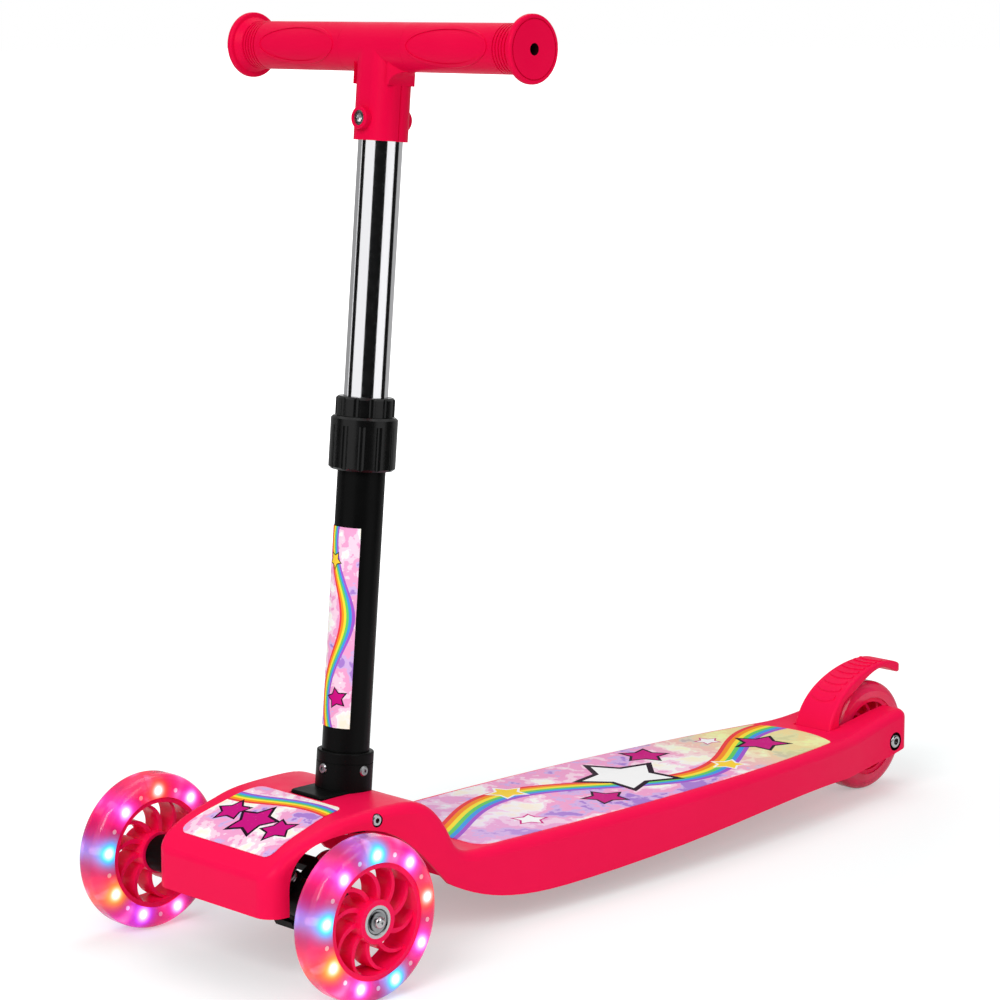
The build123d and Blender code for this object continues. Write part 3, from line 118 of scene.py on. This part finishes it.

# Radii of the painted shade in sunk seats, in the driving holes in them and in end holes, and of the
# bearings
SCREW_SEAT = 0.0046
SCREW_HOLE = SCREW_SEAT * 0.38
BOLT_SEAT = 0.0076
BOLT_HOLE = BOLT_SEAT * 0.34
END_HOLE = 0.0040
BEARING_RADIUS = 0.011

# Lamp colours round each front wheel, from the top one towards the front
BLUE_LIGHT = (0.0, 0.46, 1.0)
ROSE_LIGHT = (1.0, 0.03, 0.50)
VIOLET_LIGHT = (0.60, 0.03, 0.90)
AMBER_LIGHT = (1.0, 0.25, 0.0)
RED_LIGHT = (1.0, 0.05, 0.02)
LEFT_LIGHTS = [
    BLUE_LIGHT, ROSE_LIGHT, BLUE_LIGHT, AMBER_LIGHT, ROSE_LIGHT,
    BLUE_LIGHT, ROSE_LIGHT, RED_LIGHT, ROSE_LIGHT,
]
RIGHT_LIGHTS = [
    RED_LIGHT, ROSE_LIGHT, BLUE_LIGHT, AMBER_LIGHT, VIOLET_LIGHT,
    ROSE_LIGHT, BLUE_LIGHT, AMBER_LIGHT, ROSE_LIGHT,
]

# Lamps in a front tyre: their ring, the coloured halo and the white glow painted in it, and the sockets
# between
LAMP_RADIUS = 0.0445
LAMP_STRENGTH = 3.0
HALO_WIDTH = 0.0080
HALO_GAIN = 1.6
HALO_STRENGTH = 0.55
GLOW_WIDTH = 0.0042
GLOW_STRENGTH = 1.8
SOCKET_RADIUS = 0.0016
SOCKET_PALE = 0.7

# How clear the tyres and the unlit lamps are
TYRE_CLEAR = 0.42
REAR_TYRE_CLEAR = 0.22
UNLIT_CLEAR = 0.4

# Scale of the clouds in each print, and the share of a star inside its edge
DECK_CLOUDS = 26.0
HOOD_CLOUDS = 34.0
TUBE_CLOUDS = 40.0
STAR_FILL = 0.80


class Net:
    """A material's node tree, with a short call for each kind of node."""

    def __init__(self, name):
        self.material = bpy.data.materials.new(name)
        self.material.use_nodes = True
        self.tree = self.material.node_tree
        self.shader = self.tree.nodes["Principled BSDF"]
        self.place = self.tree.nodes.new("ShaderNodeTexCoord").outputs["Object"]

    def put(self, value, socket):
        """Links a socket, or sets a plain value."""
        if isinstance(value, bpy.types.NodeSocket):
            self.tree.links.new(value, socket)
        elif isinstance(value, tuple) and len(socket.default_value) == 4:
            socket.default_value = (*value, 1.0)
        else:
            socket.default_value = value

    def set(self, **values):
        """Sets the shader's sockets by name, with _ for a space."""
        for name, value in values.items():
            self.put(value, self.shader.inputs[name.replace("_", " ")])
        return self

    def math(self, operation, *values):
        node = self.tree.nodes.new("ShaderNodeMath")
        node.operation = operation
        for value, socket in zip(values, node.inputs):
            self.put(value, socket)
        return node.outputs[0]

    def square(self, first, second):
        """The squared length across two ways at right angles."""
        return self.math("ADD", self.math("POWER", first, 2.0), self.math("POWER", second, 2.0))

    def length(self, first, second):
        return self.math("SQRT", self.square(first, second))

    def split(self):
        node = self.tree.nodes.new("ShaderNodeSeparateXYZ")
        self.put(self.place, node.inputs[0])
        return node.outputs

    def noise(self, scale, detail=3.0, rough=0.5):
        node = self.tree.nodes.new("ShaderNodeTexNoise")
        self.put(self.place, node.inputs["Vector"])
        self.put(scale, node.inputs["Scale"])
        self.put(detail, node.inputs["Detail"])
        self.put(rough, node.inputs["Roughness"])
        return node.outputs["Fac"]

    def ramp(self, value, stops, steps=False):
        """A colour ramp; stops are (place, colour)."""
        node = self.tree.nodes.new("ShaderNodeValToRGB")
        ramp = node.color_ramp
        ramp.interpolation = "CONSTANT" if steps else "LINEAR"
        while len(ramp.elements) < len(stops):
            ramp.elements.new(1.0)
        for element, (place, colour) in zip(ramp.elements, stops):
            element.position = place
            element.color = (*colour, 1.0)
        self.put(value, node.inputs[0])
        return node.outputs[0]

    def span(self, value, low, high):
        """Maps noise, from 0.3 to 0.7, to a range of plain values."""
        node = self.tree.nodes.new("ShaderNodeMapRange")
        self.put(value, node.inputs["Value"])
        for name, number in (("From Min", 0.3), ("From Max", 0.7), ("To Min", low), ("To Max", high)):
            self.put(number, node.inputs[name])
        return node.outputs[0]

    def mix(self, amount, first, second):
        node = self.tree.nodes.new("ShaderNodeMix")
        node.data_type = "RGBA"
        self.put(amount, node.inputs[0])
        self.put(first, node.inputs[6])
        self.put(second, node.inputs[7])
        return node.outputs[2]

    def bump(self, height, strength, distance):
        node = self.tree.nodes.new("ShaderNodeBump")
        self.put(height, node.inputs["Height"])
        self.put(strength, node.inputs["Strength"])
        self.put(distance, node.inputs["Distance"])
        self.put(node.outputs[0], self.shader.inputs["Normal"])
        return self


def moulded(name, colour, dark, rough, grain, gloss):
    """Moulded plastic: faint shade and gloss changes, and a fine grain."""
    net = Net(name)
    net.colour = net.mix(net.span(net.noise(14.0), 0.0, 0.35), colour, dark)
    net.set(Base_Color=net.colour)
    net.set(Roughness=net.span(net.noise(60.0, detail=5.0), rough - 0.04, rough + 0.06))
    net.bump(net.noise(grain, detail=2.0), strength=0.08, distance=0.0004)
    return net.set(Specular_IOR_Level=gloss)


def ring_way(net, centre):
    """The distance from a line along X through a centre."""
    parts = net.split()
    y = net.math("SUBTRACT", parts[1], centre[1])
    z = net.math("SUBTRACT", parts[2], centre[2])
    return net.length(y, z)


def shaded(net, colour, centre, reach):
    """Darkens what lies within a reach of a line along X with painted shade, as deep sunk seats and
    holes look.
    """
    return net.mix(net.math("LESS_THAN", ring_way(net, centre), reach), colour, SHADE)


def pink_plastic():
    return moulded("pink plastic", PINK, PINK_DEEP, SHELL_ROUGH, SHELL_GRAIN, PINK_GLOSS).material


def handle_plastic():
    # The shell's pink darkened: painted shade on the handle
    net = moulded("handle plastic", HANDLE_PINK_SHADED, PINK_DEEP, SHELL_ROUGH, SHELL_GRAIN, HANDLE_GLOSS)
    return net.material


def shell_plastic(screw, bolt):
    """The deck moulding's plastic, with painted shade in the sunk seats of the flank screws and the rear
    axle.
    """
    net = moulded("shell plastic", PINK, PINK_DEEP, SHELL_ROUGH, SHELL_GRAIN, PINK_GLOSS)
    colour = shaded(net, net.colour, screw, SCREW_SEAT)
    return net.set(Base_Color=shaded(net, colour, bolt, BOLT_SEAT)).material


def grip_plastic(middle):
    """The grips' plastic, with painted shade in the end hole."""
    net = moulded("grip plastic", HANDLE_PINK_SHADED, PINK_DEEP, rough=0.36, grain=2200.0, gloss=HANDLE_GLOSS)
    return net.set(Base_Color=shaded(net, net.colour, middle, END_HOLE)).material


def plated(name, smooth, rough):
    """Plated metal between two values of roughness, with a fine grain and no colour yet."""
    net = Net(name)
    net.set(Metallic=1.0, Roughness=net.span(net.noise(240.0, detail=4.0), smooth, rough))
    return net.bump(net.noise(3000.0), strength=0.03, distance=0.0002)


def smeared(net, colour, dark):
    """A metal's colour with faint darker smears."""
    return net.mix(net.span(net.noise(90.0), 0.0, 0.5), colour, dark)


def bearing_steel(name, centre):
    """Bright races with a dull shield between thin dark lines."""
    net = plated(name, smooth=0.18, rough=0.34)
    place = net.math("DIVIDE", ring_way(net, centre), BEARING_RADIUS)
    tone = net.ramp(place, [
        (0.0, STEEL), (0.50, STEEL), (0.52, BLACK), (0.58, BLACK), (0.60, STEEL_DARK),
        (0.72, STEEL_DARK), (0.73, BLACK), (0.78, BLACK), (0.80, STEEL),
    ])
    colour = net.mix(net.span(net.noise(300.0), 0.0, 0.3), tone, STEEL_DARK)
    return net.set(Base_Color=colour).material


def core_plastic():
    net = moulded("wheel core plastic", CORE_PINK, PINK_DEEP, rough=0.22, grain=900.0, gloss=CORE_GLOSS)
    return net.set(Subsurface_Weight=0.15, Subsurface_Scale=0.004).material


def black_plastic():
    net = moulded("black plastic", BLACK, BLACK_WORN, rough=0.38, grain=1800.0, gloss=BLACK_GLOSS)
    return net.material


def lock_plastic():
    """The twist lock's plastic, glossier than the other black parts."""
    net = moulded("lock plastic", BLACK, BLACK_WORN, rough=0.22, grain=1800.0, gloss=LOCK_GLOSS)
    return net.material


def tube_paint():
    net = moulded("satin black paint", BLACK, BLACK_WORN, rough=0.30, grain=2600.0, gloss=PAINT_GLOSS)
    return net.material


def metal(name, colour, dark=None, *, smooth, rough):
    """Plain plated metal, smeared where a dark tone is given."""
    net = plated(name, smooth, rough)
    return net.set(Base_Color=smeared(net, colour, dark) if dark else colour).material


def head_steel(name, centre, reach):
    """A screw or bolt along X with painted shade in its driving hole."""
    net = plated(name, smooth=0.16, rough=0.30)
    colour = smeared(net, STEEL, STEEL_DARK)
    return net.set(Base_Color=shaded(net, colour, centre, reach)).material


def clear_tyre(name, colour, pale, clear):
    """Cast clear tyre, cloudy in places."""
    net = Net(name)
    net.colour = net.mix(net.span(net.noise(40.0, detail=4.0), 0.0, 0.6), colour, pale)
    net.set(Base_Color=net.colour, Transmission_Weight=clear, IOR=1.43, Specular_IOR_Level=TYRE_GLOSS)
    net.set(Roughness=net.span(net.noise(120.0), 0.05, 0.13))
    net.bump(net.noise(300.0, detail=2.0), strength=0.05, distance=0.0004)
    return net


def wheel_angle(net, centre):
    """Radius and turn round a wheel's axle; the turn goes from 0 to 1, from the top to the front."""
    parts = net.split()
    back = net.math("SUBTRACT", parts[1], centre[1])
    up = net.math("SUBTRACT", parts[2], centre[2])
    forward = net.math("MULTIPLY", back, -1.0)
    angle = net.math("ARCTAN2", forward, up)
    turn = net.math("FRACT", net.math("DIVIDE", angle, 2 * math.pi))
    return net.length(back, up), turn


def lamp_colour(net, turn, colours):
    """The colour of the lamp that is nearest round the wheel."""
    count = len(colours)
    place = net.math("FRACT", net.math("ADD", turn, 0.5 / count))
    return net.ramp(place, [(i / count, colour) for i, colour in enumerate(colours)], steps=True)


def spot(net, radius, turn, count, shift):
    """The squared distance from the nearest of a ring of spots, set at the lamps' radius."""
    place = net.math("MULTIPLY_ADD", turn, count, 0.5 + shift)
    off = net.math("SUBTRACT", net.math("FRACT", place), 0.5)
    round_way = net.math("MULTIPLY", net.math("MULTIPLY", off, 2 * math.pi / count), radius)
    out_way = net.math("SUBTRACT", radius, LAMP_RADIUS)
    return net.square(round_way, out_way)


def lit_tyre(name, centre, colours):
    """A clear tyre with the lamps' glow painted in it as colour and emission, and a small clear socket
    between each two lamps.
    """
    net = clear_tyre(name, TYRE_PINK, TYRE_PALE, TYRE_CLEAR)
    radius, turn = wheel_angle(net, centre)
    count = len(colours)
    socket = spot(net, radius, turn, count, 0.5)
    pale = net.math("LESS_THAN", socket, SOCKET_RADIUS ** 2)
    cast = net.mix(net.math("MULTIPLY", pale, SOCKET_PALE), net.colour, WHITE)
    square = spot(net, radius, turn, count, 0.0)
    # Painted glow of the lamps on the tyre: a coloured halo with a white core
    spread = net.math("EXPONENT", net.math("DIVIDE", square, -HALO_WIDTH ** 2))
    halo = net.math("MINIMUM", net.math("MULTIPLY", spread, HALO_GAIN), 1.0)
    glow = net.math("EXPONENT", net.math("DIVIDE", square, -GLOW_WIDTH ** 2))
    light = lamp_colour(net, turn, colours)
    net.set(Base_Color=net.mix(halo, cast, light), Emission_Color=net.mix(glow, light, WHITE))
    net.set(Transmission_Weight=net.math("MULTIPLY_ADD", halo, -TYRE_CLEAR, TYRE_CLEAR))
    halo_light = net.math("MULTIPLY", halo, HALO_STRENGTH)
    net.set(Emission_Strength=net.math("MULTIPLY_ADD", glow, GLOW_STRENGTH, halo_light))
    return net.material


def lamp(name, centre, colours):
    """Lit lamps, each in a paler tone of its light."""
    net = Net(name)
    _, turn = wheel_angle(net, centre)
    colour = net.mix(net.span(net.noise(400.0), 0.25, 0.45), lamp_colour(net, turn, colours), WHITE)
    net.set(Base_Color=WHITE, Roughness=0.2, Emission_Color=colour, Emission_Strength=LAMP_STRENGTH)
    return net.material


def dark_lamp():
    return clear_tyre("unlit lamp", BLUSH, WHITE, UNLIT_CLEAR).material


# Printed film: soft clouds, a waving ribbon of stripes and plain stars
def clouds(net, scale):
    """Patches of rose, lilac and white with ragged edges."""
    fine = net.math("MULTIPLY", net.noise(scale * 5.0, detail=4.0), 0.30)
    value = net.math("ADD", net.math("MULTIPLY", net.noise(scale, detail=2.0), 0.90), fine)
    return net.ramp(value, [
        (0.0, LILAC), (0.47, LILAC), (0.49, LILAC_PALE), (0.52, LILAC_PALE), (0.535, ROSE),
        (0.61, ROSE), (0.62, BLUSH), (0.67, BLUSH), (0.685, WHITE), (0.78, CREAM),
    ])


def rise(net, place, start, end, most):
    """A share that rises from 0 at one place on the sheet to its most at another."""
    slope = most / (end - start)
    share = net.math("MULTIPLY_ADD", place, slope, -start * slope)
    return net.math("MINIMUM", net.math("MAXIMUM", share, 0.0), most)


def ribbon(net, ground, across, along, middle, swing, wave, phase, width):
    """A band of coloured stripes that waves along the sheet."""
    turn = net.math("MULTIPLY_ADD", along, 2 * math.pi / wave, phase)
    line = net.math("MULTIPLY_ADD", net.math("SINE", turn), swing, middle)
    place = net.math("MULTIPLY_ADD", net.math("SUBTRACT", across, line), 1.0 / width, 0.5)
    count = len(RIBBON)
    stripes = net.ramp(place, [(i / count, colour) for i, colour in enumerate(RIBBON)], steps=True)
    inside = net.math("COMPARE", place, 0.5, 0.5)
    return net.mix(inside, ground, stripes)


def star(net, ground, across, along, centre, size, turn, fill, edge):
    """A five-pointed star with an edge round it, about a centre on the sheet."""
    x = net.math("SUBTRACT", across, centre[0])
    y = net.math("SUBTRACT", along, centre[1])
    reach = net.length(x, y)
    angle = net.math("ADD", net.math("ARCTAN2", x, y), turn)
    fold = net.math("PINGPONG", angle, math.pi / 5)
    lean = net.math("COSINE", net.math("SUBTRACT", fold, math.radians(60.0)))
    rim = net.math("DIVIDE", size * 0.5, lean)
    outer = net.math("LESS_THAN", reach, rim)
    inner = net.math("LESS_THAN", reach, net.math("MULTIPLY", rim, STAR_FILL))
    return net.mix(inner, net.mix(outer, ground, edge), fill)


def film(net, colour):
    """Gloss film with faint scuffs over a print."""
    scuff = net.math("GREATER_THAN", net.noise(500.0, detail=6.0, rough=0.7), 0.66)
    net.set(Base_Color=net.mix(net.math("MULTIPLY", scuff, 0.12), colour, WHITE))
    net.set(Roughness=net.span(net.noise(80.0), 0.28, 0.42), Specular_IOR_Level=FILM_GLOSS)
    net.bump(net.noise(900.0), strength=0.04, distance=0.0002)
    return net.material


def deck_print():
    """The deck's print: clouds, lime at the rear and lilac at the front, a long ribbon and stars."""
    low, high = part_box("deck_sheet")
    middle = (low.y + high.y) / 2
    net = Net("deck print")
    x, y = net.split()[:2]
    along = net.math("SUBTRACT", y, middle)
    rear = rise(net, along, start=0.07, end=0.15, most=0.65)
    front = rise(net, along, start=-0.09, end=-0.20, most=0.50)
    colour = net.mix(front, net.mix(rear, clouds(net, DECK_CLOUDS), LIME), LILAC_PALE)
    colour = ribbon(net, colour, x, along, middle=0.004, swing=0.030, wave=0.30, phase=0.6, width=0.026)
    # Centre, size, turn, fill and edge
    stars = [
        ((-0.002, 0.004), 0.046, 0.3, WHITE, INK), ((0.030, -0.052), 0.020, 0.1, MAGENTA, INK),
        ((-0.034, 0.060), 0.022, 0.8, MAGENTA, INK), ((0.030, 0.086), 0.016, 0.5, SUN, WHITE),
        ((-0.030, -0.095), 0.018, 0.2, SUN, WHITE), ((0.004, 0.155), 0.026, 0.4, MAGENTA, INK),
        ((0.034, -0.135), 0.015, 0.9, WHITE, MAGENTA), ((-0.030, 0.130), 0.012, 0.1, WHITE, MAGENTA),
    ]
    for centre, size, turn, fill, edge in stars:
        colour = star(net, colour, x, along, centre, size, turn, fill, edge)
    return film(net, colour)


def hood_print():
    """The hood's print: clouds, a ribbon along its rear edge and three stars."""
    low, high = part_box("hood_sheet")
    middle = (low.y + high.y) / 2
    net = Net("hood print")
    x, y = net.split()[:2]
    along = net.math("SUBTRACT", y, middle)
    colour = clouds(net, HOOD_CLOUDS)
    colour = ribbon(net, colour, along, x, middle=0.018, swing=0.006, wave=0.14, phase=0.4, width=0.013)
    # Centre, size and turn
    stars = [((0.0, -0.008), 0.021, 0.0), ((-0.027, -0.004), 0.015, 0.3), ((0.027, -0.010), 0.015, 0.6)]
    for centre, size, turn in stars:
        colour = star(net, colour, x, along, centre, size, turn, MAGENTA, INK)
    return film(net, colour)


def tube_print():
    """The column's print: clouds, a ribbon up its length and two stars."""
    low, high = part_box("tube_sheet")
    middle = (low.z + high.z) / 2
    net = Net("column print")
    x, _, z = net.split()[:3]
    along = net.math("SUBTRACT", z, middle)
    colour = clouds(net, TUBE_CLOUDS)
    colour = ribbon(net, colour, x, along, middle=0.002, swing=0.007, wave=0.11, phase=1.2, width=0.009)
    # Centre, size, turn and fill
    stars = [((0.005, -0.048), 0.008, 0.2, MAGENTA), ((-0.003, 0.046), 0.007, 0.7, SUN)]
    for centre, size, turn, fill in stars:
        colour = star(net, colour, x, along, centre, size, turn, fill, INK)
    return film(net, colour)


def dress():
    """Gives every solid its material, by its slot in the record or by its own name."""
    def centre(node):
        low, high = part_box(node)
        return (low + high) / 2

    by_slot = {
        "pink_plastic": pink_plastic(),
        "grip_rubber": grip_plastic(centre("left_grip")),
        "black_plastic": black_plastic(),
        "black_tube": tube_paint(),
        "chrome": metal("chrome plate", CHROME, smooth=0.07, rough=0.13),
        "steel": metal("zinc plate", STEEL, STEEL_DARK, smooth=0.182, rough=0.338),
        "spring_steel": metal("spring wire", STEEL_DARK, smooth=0.245, rough=0.455),
        "pink_core": core_plastic(),
        "clear_tyre": clear_tyre("rear tyre", REAR_TYRE_PINK, REAR_TYRE_PALE, REAR_TYRE_CLEAR).material,
        "light_off": dark_lamp(),
    }
    lock = lock_plastic()
    dull = metal("dull zinc", STEEL_DARK, STEEL_BLACK, smooth=0.21, rough=0.39)
    by_node = {
        "t_handle": handle_plastic(),
        "lock_nut": lock,
        "lock_collet": lock,
        "collar_screws": dull,
        "left_axle_clip": dull,
        "right_axle_clip": dull,
        "side_screws": head_steel("flank screws", centre("side_screws"), SCREW_HOLE),
        "rear_axle_bolt": head_steel("rear axle bolt", centre("rear_axle_bolt"), BOLT_HOLE),
        "deck_body": shell_plastic(centre("side_screws"), centre("rear_axle_bolt")),
        "left_bearings": bearing_steel("left bearings", centre("left_bearings")),
        "right_bearings": bearing_steel("right bearings", centre("right_bearings")),
        "rear_bearings": bearing_steel("rear bearings", centre("rear_bearings")),
        "deck_sheet": deck_print(),
        "hood_sheet": hood_print(),
        "tube_sheet": tube_print(),
        "left_tyre": lit_tyre("left tyre", centre("left_tyre"), LEFT_LIGHTS),
        "right_tyre": lit_tyre("right tyre", centre("right_tyre"), RIGHT_LIGHTS),
        "left_lights": lamp("left lamps", centre("left_tyre"), LEFT_LIGHTS),
        "right_lights": lamp("right lamps", centre("right_tyre"), RIGHT_LIGHTS),
    }
    slots = {part["node"]: part["material_slot"] for part in frame["record"]["subparts"]}
    for name, solid in nodes.items():
        solid.data.materials.clear()
        solid.data.materials.append(by_node.get(name) or by_slot[slots[name]])


def smooth():
    """Shades the solids smooth, with sharp edges kept."""
    for solid in nodes.values():
        for face in solid.data.polygons:
            face.use_smooth = True
        solid.data.set_sharp_from_angle(angle=SHARP_ANGLE)


# Floor, light and camera
def see_white(tree):
    """1 for rays that come straight from the camera, a mirror or glass, else 0."""
    path = tree.nodes.new("ShaderNodeLightPath")
    total = path.outputs["Is Camera Ray"]
    for name in ("Is Glossy Ray", "Is Transmission Ray"):
        add = tree.nodes.new("ShaderNodeMath")
        add.operation = "MAXIMUM"
        tree.links.new(total, add.inputs[0])
        tree.links.new(path.outputs[name], add.inputs[1])
        total = add.outputs[0]
    return total


def make_world():
    world = bpy.data.worlds.new("studio")
    bpy.context.scene.world = world
    world.use_nodes = True
    tree = world.node_tree
    light = tree.nodes["Background"]
    light.inputs["Color"].default_value = (1.0, 1.0, 1.0, 1.0)
    light.inputs["Strength"].default_value = AMBIENT
    white = tree.nodes.new("ShaderNodeBackground")
    white.inputs["Color"].default_value = (1.0, 1.0, 1.0, 1.0)
    white.inputs["Strength"].default_value = 1.0
    mix = tree.nodes.new("ShaderNodeMixShader")
    tree.links.new(see_white(tree), mix.inputs[0])
    tree.links.new(light.outputs[0], mix.inputs[1])
    tree.links.new(white.outputs[0], mix.inputs[2])
    tree.links.new(mix.outputs[0], tree.nodes["World Output"].inputs["Surface"])


def flat_piece(name, half_width, half_height):
    """A flat four-cornered piece about its own middle."""
    mesh = bpy.data.meshes.new(name)
    signs = ((-1, -1), (1, -1), (1, 1), (-1, 1))
    corners = [(x * half_width, y * half_height, 0) for x, y in signs]
    mesh.from_pydata(corners, [], [(0, 1, 2, 3)])
    piece = bpy.data.objects.new(name, mesh)
    bpy.context.collection.objects.link(piece)
    return piece


def make_floor():
    """A white floor that keeps a soft shadow."""
    floor = flat_piece("floor", FLOOR_HALF, FLOOR_HALF)
    net = Net("floor")
    net.set(Base_Color=FLOOR_TONE, **MATT)
    glow = net.tree.nodes.new("ShaderNodeEmission")
    mirrored = net.tree.nodes.new("ShaderNodeLightPath").outputs["Is Glossy Ray"]
    strength = net.math("MULTIPLY_ADD", mirrored, FLOOR_MIRRORED - FLOOR_GLOW, FLOOR_GLOW)
    net.put(strength, glow.inputs["Strength"])
    mix = net.tree.nodes.new("ShaderNodeMixShader")
    parts = net.split()
    along = net.math("MULTIPLY", parts[1], FLOOR_ALONG)
    faded = net.math("MULTIPLY", net.length(parts[0], along), FLOOR_FADE)
    white = net.math("MINIMUM", net.math("MAXIMUM", faded, FLOOR_WHITE), 1.0)
    share = net.math("MULTIPLY", see_white(net.tree), white)
    net.put(share, mix.inputs[0])
    net.tree.links.new(net.shader.outputs[0], mix.inputs[1])
    net.tree.links.new(glow.outputs[0], mix.inputs[2])
    net.tree.links.new(mix.outputs[0], net.tree.nodes["Material Output"].inputs["Surface"])
    floor.data.materials.append(net.material)


def make_lamp(name, place, aim, size, power):
    """A soft square lamp."""
    data = bpy.data.lights.new(name, "AREA")
    data.size = size
    data.energy = power
    lamp_object = bpy.data.objects.new(name, data)
    lamp_object.location = place
    lamp_object.rotation_mode = "QUATERNION"
    lamp_object.rotation_quaternion = (Vector(aim) - Vector(place)).to_track_quat("-Z", "Y")
    bpy.context.collection.objects.link(lamp_object)


def make_card(name, place, aim, width, height, tone):
    """A dark or grey card outside the picture, for bright metal to reflect."""
    card = flat_piece(name, width / 2, height / 2)
    card.location = place
    card.rotation_mode = "QUATERNION"
    card.rotation_quaternion = (Vector(aim) - Vector(place)).to_track_quat("-Z", "Y")
    net = Net(name)
    net.set(Base_Color=CARD_BLACK, **MATT)
    net.set(Emission_Color=WHITE, Emission_Strength=tone)
    card.data.materials.append(net.material)
    card.visible_camera = False
    card.visible_shadow = False
    card.visible_diffuse = False
    card.visible_transmission = False


def make_camera():
    data = bpy.data.cameras.new("camera")
    data.lens = CAMERA_LENS
    data.sensor_width = CAMERA_SENSOR
    camera = bpy.data.objects.new("camera", data)
    flat = math.cos(CAMERA_ELEVATION)
    back = Vector((
        math.sin(CAMERA_AZIMUTH) * flat,
        -math.cos(CAMERA_AZIMUTH) * flat,
        math.sin(CAMERA_ELEVATION),
    ))
    camera.location = CAMERA_PLACE
    camera.rotation_mode = "QUATERNION"
    camera.rotation_quaternion = (-back).to_track_quat("-Z", "Y")
    bpy.context.collection.objects.link(camera)
    bpy.context.scene.camera = camera


def make_studio():
    make_world()
    make_floor()
    for lamp_values in STUDIO_LAMPS:
        make_lamp(*lamp_values)
    low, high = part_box("upper_tube")
    column = (low + high) / 2
    for turn, width, tone in CARDS:
        azimuth = CAMERA_AZIMUTH + math.radians(turn)
        x = column.x + CARD_REACH * math.sin(azimuth)
        y = column.y - CARD_REACH * math.cos(azimuth)
        aim = (column.x, column.y, CARD_MIDDLE)
        make_card(f"card {turn}", (x, y, CARD_MIDDLE), aim, width, CARD_HEIGHT, tone)
    bpy.context.scene.view_settings.view_transform = "Standard"


dress()
smooth()
make_studio()
make_camera()
